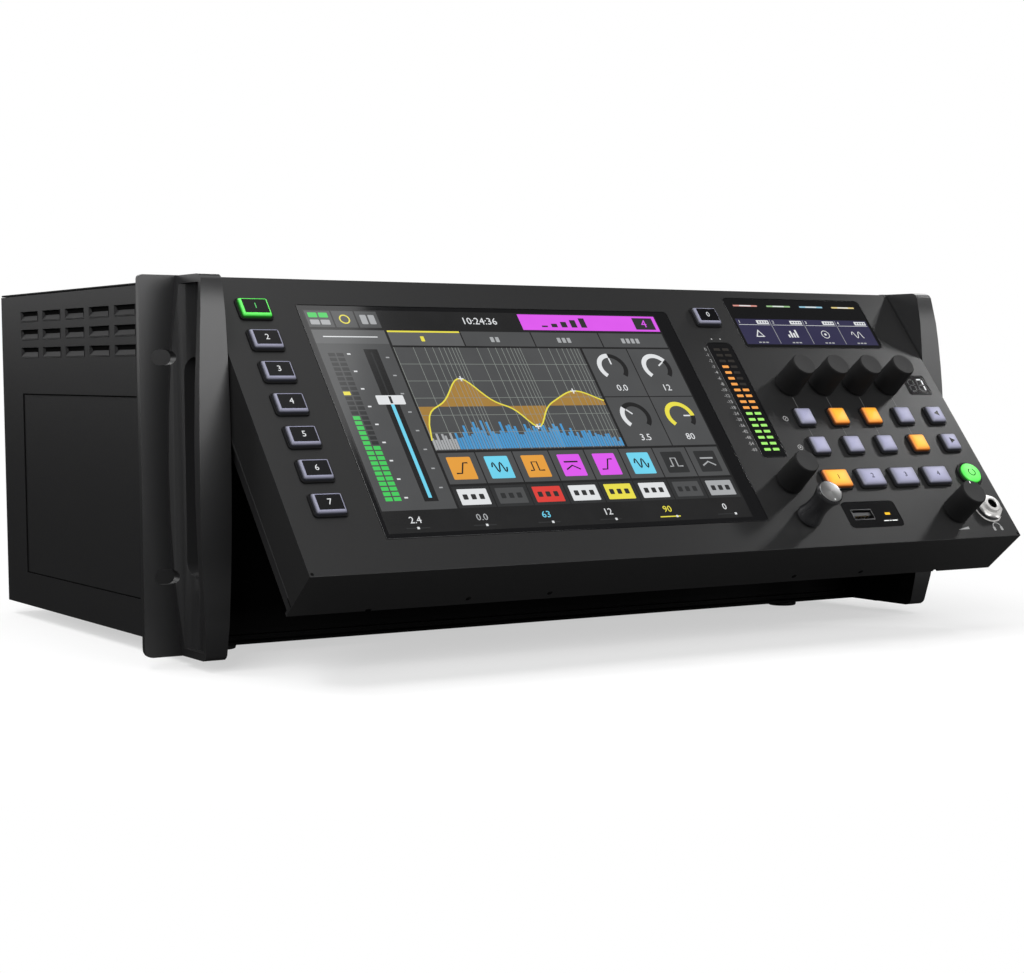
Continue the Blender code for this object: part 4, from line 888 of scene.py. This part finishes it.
def scribble_strip():
    """Four colour bars over a navy display of four cells with plain figures."""
    low, high = on_face("scribble_display")
    piece = Piece(FACE)
    white, pale, navy = shade("white"), shade("pale"), shade("navy")
    cell = 23.3
    left = low.x + 2.1
    top = high.y - 14.6
    bottom = low.y + 2.4
    bar_y = high.y - 5.2
    y = (top - 4.2 + bottom) / 2 + 0.6
    drawn = (0.0, 0.07)
    piece.bar(left, bottom, left + 4 * cell, top, -0.02, 0.04, navy)
    for index, tone in enumerate(("bar_pale_red", "bar_pale_green", "bar_pale_blue", "bar_pale_yellow")):
        start = left + index * cell
        end = start + cell
        middle = start + cell / 2
        piece.block(middle, bar_y, 16.6, 1.0, -0.02, 0.06, shade(tone), 0.3)
        piece.block(middle, bar_y, 8.0, 0.72, -0.02, 0.09, white, 0.25)
        if index:
            piece.bar(start - 0.15, bottom + 0.6, start + 0.15, top - 0.6, *drawn, pale)
        piece.bar(start + 0.8, top - 4.2, end - 0.8, top - 3.95, *drawn, white)
        piece.numeral(str(index + 1), start + 2.0, top - 2.1, 2.8, *drawn, white)
        piece.bar(end - 9.5, top - 3.4, end - 1.2, top - 0.9, *drawn, white, 0.2)
        for dot in range(4):
            piece.block(end - 7.8 + dot * 1.8, top - 2.15, 1.0, 0.9, 0.0, 0.1, navy)
        if index == 0:
            piece.plate([(middle - 3.0, y - 2.2), (middle + 3.0, y - 2.2), (middle, y + 3.0)], *drawn, white)
            piece.plate([(middle - 1.9, y - 1.6), (middle + 1.9, y - 1.6), (middle, y + 1.7)], 0, 0.1, navy)
        elif index == 1:
            for step, tall in enumerate((2.0, 4.6, 3.2, 5.4)):
                x = middle - 3.6 + step * 1.9
                piece.bar(x, y - 2.4, x + 1.2, y - 2.4 + tall, *drawn, white)
        elif index == 2:
            piece.arc((middle, y), 2.6, 0, 360, 0.4, *drawn, white, 24)
            piece.plate(circle(0.8, 12, (middle, y)), *drawn, white)
        else:
            wave = [(middle - 4.0 + step * 0.4, y + 2.2 * math.sin(step * 0.55)) for step in range(21)]
            piece.line(wave, 0.45, *drawn, white)
        for dash in range(3):
            piece.block(middle - 2.35 + dash * 2.4, bottom + 1.3, 1.7, 0.8, *drawn, pale)
    piece.done("scribble_picture", "tilt_panel", LIT_FINISHES)
    softened("scribble_display", 0.25, GLASS_BLACK)


def layer_digits():
    """Two seven-segment digits, one dark and one lit."""
    low, high = on_face("layer_display")
    piece = Piece(FACE)
    half_tall, half_wide, lean, gap = 4.0, 2.0, 0.25, 0.55
    segments = {"a": ((-1, 1), (1, 1)), "b": ((1, 0), (1, 1)), "c": ((1, -1), (1, 0)), "d": ((-1, -1), (1, -1)),
                "e": ((-1, -1), (-1, 0)), "f": ((-1, 0), (-1, 1)), "g": ((-1, 0), (1, 0))}
    for side, on in ((-3.3, ""), (3.3, "abc")):
        middle = Vector(((low.x + high.x) / 2 + side, (low.y + high.y) / 2))
        for name, ends in segments.items():
            start, end = (middle + Vector((across * half_wide + up * lean, up * half_tall)) for across, up in ends)
            along = (end - start).normalized() * gap
            # Unlit segments glow faintly: painted light.
            tone = "white" if name in on else "segment_off_painted_glow"
            piece.line([start + along, end - along], 0.8, -0.02, 0.06, shade(tone))
    piece.done("layer_digits", "tilt_panel", LIT_FINISHES)
    softened("layer_display", 0.25, GLASS_BLACK)


def touch_screen():
    """A made-up control page: faders and meters, a curve over a spectrum, dials and tiles.

    Its u runs right and its v down from the glass's upper left corner, and later layers stand higher.
    """
    low, high = on_face("touch_screen")
    draw = Piece(FACE)
    chance = random.Random(7)
    thickness = 0.03

    def spot(u, v):
        return low.x + u, high.y - v

    def box(u1, v1, u2, v2, tone, layer=1, radius=0.0):
        draw.bar(*spot(u1, v2), *spot(u2, v1), 0.0, thickness * layer, shade(tone), radius)

    def stroke(points, width, tone, layer=4):
        draw.line([spot(*point) for point in points], width, 0.0, thickness * layer, shade(tone))

    def sweep(u, v, radius, start, end, width, tone, layer=3):
        draw.arc(spot(u, v), radius, start, end, width, 0.0, thickness * layer, shade(tone), 26)

    def number(words, u, v, size, tone):
        draw.numeral(words, *spot(u, v), size, 0.0, thickness * 4, shade(tone))

    box(2.2, 2.6, 207.5, 133.4, "ground")
    # Header: small cells, a clock and the channel bar
    box(3.0, 3.4, 16.5, 13.6, "tile", 2)
    for start in (4.4, 10.0):
        box(start, 4.6, start + 4.8, 7.6, "green", 3, 0.4)
        box(start, 9.0, start + 4.8, 12.0, "pale", 3, 0.4)
    box(17.3, 3.4, 29.0, 13.6, "tile", 2)
    sweep(23.1, 8.5, 2.5, 0, 360, 0.7, "yellow")
    box(29.8, 3.4, 41.5, 13.6, "tile", 2)
    for start in (31.8, 36.2):
        box(start, 5.6, start + 3.4, 11.4, "pale", 3, 0.5)
    number("10:24:36", 98.0, 8.6, 6.0, "white")
    box(122.0, 3.4, 206.7, 13.6, "magenta", 2)
    box(192.0, 4.6, 204.6, 12.4, "deep", 3)
    number("4", 198.3, 8.6, 7.0, "magenta")
    for step in range(5):
        box(134.0 + step * 6.0, 10.6 - step * 1.3, 137.5 + step * 6.0, 11.6, "deep", 3)
    # Ladders and a fader on the left
    box(3.0, 15.2, 42.0, 121.0, "tile", 2)
    box(3.0, 15.2, 42.0, 23.6, "header", 3)
    stroke([(8.0, 19.4), (37.0, 19.4)], 0.6, "white")
    for u, reach, peak in ((7.0, 17, 21), (11.4, 11, None)):
        for row in range(30):
            v = 113.5 - row * 2.9
            tone = "green" if row < reach else "yellow" if row == peak else "deep"
            box(u, v, u + 3.6, v + 2.1, tone, 3)
    for row in range(9):
        v = 30.0 + row * 10.5
        box(17.0, v - 0.4, 18.8, v + 0.4, "white", 3)
    box(26.6, 27.0, 34.0, 116.5, "ground", 3)
    box(29.9, 29.0, 30.7, 60.0, "deep", 4)
    box(29.4, 60.0, 31.2, 114.5, "cyan", 4)
    box(23.0, 55.0, 37.6, 60.4, "white", 5, 0.5)
    box(29.6, 55.6, 31.0, 59.8, "deep", 6)
    for row in range(8):
        v = 32.0 + row * 11.0
        box(37.0, v - 0.35, 38.8, v + 0.35, "pale", 3)
    # Tabs over the graph
    for tab in range(4):
        start = 43.4 + tab * 41.0
        box(start, 15.2, start + 40.2, 24.4, "tile" if tab else "header", 2)
        if tab == 0:
            box(start, 15.2, start + 40.2, 16.2, "yellow", 3)
        for step in range(tab + 1):
            u = start + 17.0 + step * 3.0 - tab * 1.5
            box(u, 18.6, u + 2.0, 21.8, "pale" if tab else "yellow", 3, 0.3)
    # Curve over a spectrum
    left, right, top, bottom = 43.4, 150.5, 25.6, 88.0
    wide = right - left
    base = 62.0
    box(left, top, right, bottom, "tile", 2)
    count = 54
    curve = []
    for step in range(count + 1):
        share = step / count
        lift = 17.0 * math.exp(-((share - 0.27) / 0.10) ** 2) - 13.0 * math.exp(-((share - 0.58) / 0.07) ** 2)
        lift += 9.0 * math.exp(-((share - 0.86) / 0.13) ** 2) - 20.0 * math.exp(-share / 0.03)
        curve.append((left + wide * share, base - lift))
    for (u1, v1), (u2, v2) in zip(curve, curve[1:]):
        corners = [spot(u1, base), spot(u2, base), spot(u2, v2), spot(u1, v1)]
        if abs(v1 - base) + abs(v2 - base) > 0.4 and (v1 - base) * (v2 - base) > 0:
            draw.plate(corners if v1 < base else corners[::-1], 0.0, thickness * 3, shade("ochre"))
    bars = 72
    for step in range(bars):
        share = step / bars
        tall = (7.0 + 9.0 * chance.random()) * (0.55 + 0.6 * math.sin(3.1 * share + 0.3))
        u = left + wide * share
        tone = "blue" if share > 0.12 else "pale"
        box(u + 0.15, bottom - tall, u + wide / bars - 0.15, bottom - 0.6, tone, 4)
    for octave in range(3):
        for step in range(1, 10):
            u = left + wide * (octave + math.log10(step)) / 3.0
            box(u - 0.09, top, u + 0.09, bottom, "grid", 5)
    for step in range(1, 6):
        v = top + step * (bottom - top) / 6
        box(left, v - 0.09, right, v + 0.09, "grid", 5)
    stroke(curve, 0.7, "yellow", 7)
    for step in (15, 31, 46):
        u, v = curve[step]
        box(u - 1.5, v - 0.3, u + 1.5, v + 0.3, "white", 8)
        box(u - 0.3, v - 1.5, u + 0.3, v + 1.5, "white", 8)
    # Dials on the right
    for index, (words, turn, tone) in enumerate((("0.0", 135, "white"), ("12", 190, "white"), ("3.5", 90, "white"),
                                                 ("80", 225, "yellow"))):
        start_u = 152.0 + (index % 2) * 27.7
        start_v = 25.6 + (index // 2) * 31.5
        box(start_u, start_v, start_u + 27.0, start_v + 30.9, "tile", 2)
        u = start_u + 13.5
        v = start_v + 12.2
        sweep(u, v, 7.6, -45, 225, 2.6, "ground")
        sweep(u, v, 7.6, 225 - turn, 225, 2.6, tone, 4)
        stroke([polar(2.0, turn - 225, (u, v)), polar(6.0, turn - 225, (u, v))], 0.8, "white", 5)
        number(words, u, start_v + 25.6, 5.6, "white")
    # Tiles with plain signs
    tile_pitch = 20.45
    for index, tone in enumerate(("amber", "cyan", "amber", "magenta", "magenta", "cyan", "deep", "deep")):
        start = 43.4 + index * tile_pitch
        box(start, 89.4, start + 19.7, 107.4, "tile", 2)
        box(start + 3.4, 91.9, start + 16.3, 104.9, tone, 3, 0.6)
        ink = "pale" if tone == "deep" else "ground"
        u = start + 9.85
        v = 98.4
        if index % 4 == 0:
            sign = [(u - 4, v + 3), (u - 1, v + 3), (u + 1.5, v - 3), (u + 4, v - 3)]
        elif index % 4 == 1:
            sign = [(u - 4 + step * 0.5, v - 2.8 * math.sin(step * 0.785)) for step in range(17)]
        elif index % 4 == 2:
            sign = [(u - 4, v + 2.5), (u - 2, v + 2.5), (u - 2, v - 2.5), (u + 1, v - 2.5), (u + 1, v + 2.5),
                    (u + 4, v + 2.5)]
        else:
            stroke([(u - 4, v - 2.0), (u + 4, v - 2.0)], 0.9, ink)
            sign = [(u - 4, v + 2.6), (u, v + 0.2), (u + 4, v + 2.6)]
        stroke(sign, 0.8, ink)
    # Strip of small panels and the row of values
    for index, tone in enumerate(("white", "tile", "red", "white", "yellow", "white", "tile", "pale")):
        start = 43.4 + index * tile_pitch
        box(start, 108.8, start + 19.7, 121.0, "deep", 2)
        box(start + 2.0, 110.4, start + 17.7, 119.4, tone, 3, 0.4)
        for step in range(3):
            box(start + 4.0 + step * 4.4, 113.4, start + 6.6 + step * 4.4, 116.4, "deep", 4, 0.4)
    values = (("2.4", "white"), ("0.0", "pale"), ("63", "cyan"), ("12", "white"), ("90", "yellow"), ("0", "white"))
    for index, (words, tone) in enumerate(values):
        u = 18.0 + index * 35.0
        number(words, u, 126.6, 5.2, tone)
        box(u - 6.0, 130.6, u + 6.0, 131.2, "yellow" if index == 4 else "deep", 3)
        box(u - 0.6 + index, 130.3, u + 0.6 + index, 131.5, "white", 4)
    draw.done("control_page", "tilt_panel", LIT_FINISHES, smooth=20.0)
    softened("touch_screen", 0.2, GLASS_BLACK)


def screw(piece, at, radius=2.4, head=0):
    """Pan head with a socket recess, its axis along the place's z, in mm."""
    piece.turn([(0, 0.0), (radius, 0.0), (radius, 0.35), (radius * 0.86, 0.85), (radius * 0.55, 1.1), (0, 1.15)],
               head, at, 28)
    # Flat dark hexagon on the head: painted shade of the socket recess.
    piece.plate(circle(radius * 0.42, 6), 1.05, 1.22, 1, at)


def fasteners():
    """Screws that the solids leave out, and the seals and pads that close the seams of the case."""
    panel = Piece()
    for x in (-121.7, -77.1, 71.5, 116.4):
        under = Matrix.Translation((x, PANEL_LOW.y + 0.9, -25.3)) @ Matrix.Rotation(math.radians(90), 4, "X")
        screw(panel, FACE @ under, 1.7, 1)
    low, high = on_face("panel_back")
    for across in (-0.92, -0.31, 0.31, 0.92):
        for up in (0.06, 0.94):
            behind = Matrix.Translation((high.x * across, low.y + (high.y - low.y) * up, low.z))
            screw(panel, FACE @ behind @ Matrix.Rotation(math.pi, 4, "Y"), 1.9)
    panel.done("panel_screws", "tilt_panel", [BLACK_STEEL, HOLLOW_BLACK_AND_SHADE], smooth=40)
    case = Piece()
    cover_low, cover_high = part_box("top_cover")
    heads_z = cover_high.z - 0.0008
    for side in (-1, 1):
        for share in (0.12, 0.5, 0.92):
            y = cover_low.y + (cover_high.y - cover_low.y) * share
            screw(case, facing((side * (cover_high.x - 0.0065), y, heads_z), UP, BACK))
    screw(case, facing((0, cover_high.y - 0.007, heads_z), UP, BACK))
    rear_low, rear_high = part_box("rear_panel")
    for x in (rear_low.x + 0.006, rear_high.x - 0.006, 0.075):
        for z in (rear_low.z + 0.006, rear_high.z - 0.006):
            screw(case, facing((x, rear_high.y, z), BACK, UP))
    for node in ("foot_front_left", "foot_front_right", "foot_rear_left", "foot_rear_right"):
        low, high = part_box(node)
        place = facing(((low.x + high.x) / 2, (low.y + high.y) / 2, low.z), (0, 0, -1), BACK)
        case.turn([(0, -1.5), (2.2, -1.5), (2.2, -0.05), (0, -0.02)], 0, place, 20)
    case.done("case_screws", "chassis", [BLACK_STEEL, HOLLOW_BLACK_AND_SHADE], smooth=40)
    seal = Piece(Matrix.Translation((0, rear_low.y, cover_high.z)) @ TO_MM)
    half = rear_high.x / MM - 3.0
    seal.bar(-half, -3.0, half, -0.2, -9.0, -1.6, 0, 0.4)
    seal.done("cover_seam_seal", "chassis", [RUBBER])
    pads = Piece(TO_MM)
    for left in (-214.0, 212.0):
        pads.bar(left, -41.9, left + 2.0, -39.0, 5.2, 9.2, 0, 0.2)
    pads.done("ear_seam_pads", "chassis", [RUBBER])


# Directions of an audio socket's three contacts from its middle
CONTACT_ANGLES = (210, 330, 90)


def input_front(fronts, at):
    """Round dark socket face with three steel contacts and a latch."""
    fronts.turn([(9.2, -0.3), (11.4, -0.3), (11.4, 0.35), (10.9, 0.8), (9.7, 0.8), (9.2, 0.4)], 0, at, 40)
    fronts.turn([(0, 0.02), (9.2, 0.02), (9.2, 0.12), (0, 0.12)], 1, at, 40)
    for degrees in CONTACT_ANGLES:
        contact = at @ Matrix.Translation((*polar(5.2, degrees), 0))
        fronts.turn([(0, 0.1), (1.5, 0.1), (1.5, 0.35), (1.0, 0.45), (0, 0.2)], 2, contact, 16)
    fronts.bar(-2.2, 9.4, 2.2, 13.6, -1.0, 0.9, 0, 0.6, at)


def output_front(fronts, at):
    """Round socket cup with three pins and a key."""
    fronts.turn([(9.25, -1.0), (11.6, -0.05), (11.6, 0.5), (11.0, 0.95), (9.9, 0.95), (9.25, 0.4)], 0, at, 40)
    for degrees in CONTACT_ANGLES:
        pin = at @ Matrix.Translation((*polar(4.4, degrees), 0))
        fronts.turn([(0, -11.9), (1.15, -11.9), (1.15, -3.2), (0.7, -2.6), (0, -2.5)], 4, pin, 16)
    fronts.bar(-1.0, 8.1, 1.0, 9.3, -11.9, -0.4, 0, 0.3, at)


def rear_sockets():
    """Fronts of the audio, network and mains sockets, with plain numbers, and the power rocker."""
    fronts = Piece()
    aside = 0.0122
    for node, columns, front, sunk in (("input_block", 8, input_front, 1.2), ("output_block", 4, output_front, 0.0)):
        low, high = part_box(node)
        for index in range(2 * columns):
            x = high.x - (index % columns + 0.5) * (high.x - low.x) / columns
            z = high.z - (index // columns + 0.5) * (high.z - low.z) / 2
            at = facing((x, high.y, z), BACK, UP)
            front(fronts, at)
            for side in (-1, 1):
                screw(fronts, facing((x + side * aside, high.y - sunk * MM, z + side * aside), BACK, UP), 1.5, 3)
            fronts.numeral(str(index + 1), 12.0, 12.0, 3.6, -sunk, 0.05 - sunk, 8, "CENTER", at)
    low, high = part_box("network_block")
    for side in (-1, 1):
        at = facing(((low.x + high.x) / 2 + side * 0.015, high.y, (low.z + high.z) / 2), BACK, UP)
        fronts.rim((15.6, 15.6, 1.0), (15.2, 15.2, 1.0), (12.9, 12.9, 0.2), -0.2, 0.7, 0, at)
        for pin in range(8):
            fronts.block(-4.15 + pin * 1.17, -4.4, 0.5, 0.4, -13.5, -2.0, 5, 0.0, at)
        for lamp, finish in ((-5.2, 7), (5.2, 6)):
            fronts.block(lamp, 9.2, 2.8, 1.6, -0.1, 0.3, finish, 0.2, at)
    low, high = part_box("mains_inlet")
    pocket = facing(((low.x + high.x) / 2, high.y, low.z + 0.01475), BACK, UP)
    for x, y in ((-7.0, 1.0), (7.0, 1.0), (0.0, -3.0)):
        fronts.block(x, y, 2.0, 4.0, -14.8, -2.0, 3, 0.4, pocket)
    fronts.rim((30.0, 22.4, 2.0), (29.2, 21.6, 2.0), (24.4, 17.4, 0.8), -0.1, 0.7, 0, pocket)
    fronts.done("rear_socket_fronts", "chassis",
                [SOCKET_BLACK, HOLLOW_BLACK_AND_SHADE, STEEL, BLACK_STEEL, CHROME, GOLD, LIT["green"], LIT["amber"], PRINT])
    corners = [vertex.co for vertex in NODES["power_switch"].data.vertices]
    middle = sum(corners, Vector()) / len(corners)
    tilt = Matrix.Rotation(math.radians(-98), 4, "X") @ Matrix.Rotation(math.pi, 4, "Z")
    rocker = Piece(Matrix.Translation(middle) @ tilt @ TO_MM)
    rocker.loft([(round_rect(19.0 - 2 * inset, 11.0 - 2 * inset, 1.0), level)
                 for inset, level in ((0, -3.4), (0, 2.6), (0.25, 3.1), (0.8, 3.45))])
    rocker.bar(-0.35, 1.2, 0.35, 4.0, 3.4, 3.5, 1)
    rocker.arc((0, -2.6), 1.4, 0, 360, 0.6, 3.4, 3.5, 1)
    rocker.done("rocker_key", "power_switch_body", [SOCKET_BLACK, WHITE_PRINT], ("power_switch",))


# Name, place, aim, width, height and power of each soft lamp
LAMPS = (
    ("front_softbox", (0.45, -2.1, 0.85), (-0.05, -0.1, 0.1), 1.6, 1.4, 34),
    ("left_front_softbox", (-1.5, -1.5, 1.0), (-0.2, -0.1, 0.1), 1.0, 1.0, 26),
    ("glare_card", (-0.3, -0.2, 1.7), (-0.3, -0.2, 0.0), 2.0, 1.2, 12),
    ("top_softbox", (-0.5, 0.5, 1.4), (-0.1, -0.1, 0.1), 0.8, 0.6, 9),
    ("key_softbox", (1.4, 0.7, 1.1), (0.05, -0.1, 0.08), 0.6, 0.5, 5),
    ("right_spot", (0.6195, -0.151, 0.495), (0.2, -0.105, 0.125), 0.066, 0.066, 0.64),
    ("left_strip", (-0.763, -0.318, 1.03), (-0.212, -0.134, 0.098), 0.3, 0.3, 3.5),
    ("left_card", (-1.5, 0.06, 0.58), (-0.22, -0.076, 0.16), 0.3, 0.5, 2.1),
    ("side_card", (-1.25, 2.0, 0.65), (-0.22, 0.05, 0.15), 1.2, 0.8, 3.2),
    ("rear_softbox", (0.5, 2.3, 1.0), (0.0, 0.1, 0.1), 1.6, 1.0, 16),
    ("right_front_card", (1.75, -1.5, 0.6), (0.2, -0.1, 0.1), 0.8, 0.9, 9),
)


def stage():
    """Pale floor that keeps the shadow, a white surround, soft lamps and the camera."""
    scene = bpy.context.scene
    scene.view_settings.view_transform = "Standard"
    mesh = bpy.data.meshes.new("floor")
    reach = 14.0
    mesh.from_pydata([(-reach, -reach, 0), (reach, -reach, 0), (reach, reach, 0), (-reach, reach, 0)], [],
                     [(0, 1, 2, 3)])
    floor = bpy.data.objects.new("floor", mesh)
    scene.collection.objects.link(floor)
    pale = Finish("floor_pale")

    def matt(level):
        return pale.node("ShaderNodeBsdfDiffuse", None, {"Color": grey(level)})

    def blend(share, first, second):
        return pale.node("ShaderNodeMixShader", None, {0: share, 1: first, 2: second})

    across, along, _ = pale.axes(pale.place())
    away = (across * across + along * along) ** 0.5
    # Seen floor: white far from the object, shadowed near it. Unseen floor: a weak bounce, weaker behind.
    glow = pale.node("ShaderNodeEmission", None, {"Color": grey(1.0), "Strength": 1.0})
    clear = blend(pale.ramp(away, 0.2, 0.52, 0.55, 1.0, "SMOOTHSTEP"), matt(0.8), glow)
    dull = blend(pale.ramp(along, -0.3, 0.05, kind="SMOOTHSTEP"), matt(0.14), matt(0.02))
    whole = blend(pale.node("ShaderNodeLightPath", out="Is Camera Ray"), dull, clear)
    pale.feed(pale.tree.nodes["Material Output"].inputs["Surface"], whole)
    mesh.materials.append(pale.material)

    scene.world = bpy.data.worlds.new("surround")
    surround = Finish("surround", scene.world, "Background")
    seen = surround.node("ShaderNodeLightPath", out="Is Camera Ray")
    surround.look(Color=grey(1.0), Strength=surround.ramp(seen, 0.0, 1.0, 0.08, 1.0))

    for name, place, aim, width, height, power in LAMPS:
        light = bpy.data.lights.new(name, "AREA")
        light.shape = "RECTANGLE"
        light.size = width
        light.size_y = height
        light.energy = power
        made = bpy.data.objects.new(name, light)
        scene.collection.objects.link(made)
        made.location = place
        made.rotation_euler = (Vector(aim) - Vector(place)).to_track_quat("-Z", "Y").to_euler()
        made.visible_camera = False

    camera = bpy.data.cameras.new("camera")
    camera.sensor_fit = "HORIZONTAL"
    camera.sensor_width = 36.0
    camera.lens = 71.90
    camera.shift_x = 0.0003
    camera.shift_y = 0.1029
    eye = bpy.data.objects.new("camera", camera)
    scene.collection.objects.link(eye)
    eye.location = (-0.60344, -0.95580, 0.13658)
    eye.rotation_euler = (math.radians(83.913), 0, math.radians(-32.468))
    scene.camera = eye


case_finishes()
louvre_pans()
recess_shade_strips()
wall_seams()
keys()
knobs()
jack()
usb()
level_meter()
guide_lines()
window_corners()
scribble_strip()
layer_digits()
touch_screen()
fasteners()
rear_sockets()
stage()

bpy.context.view_layer.update()
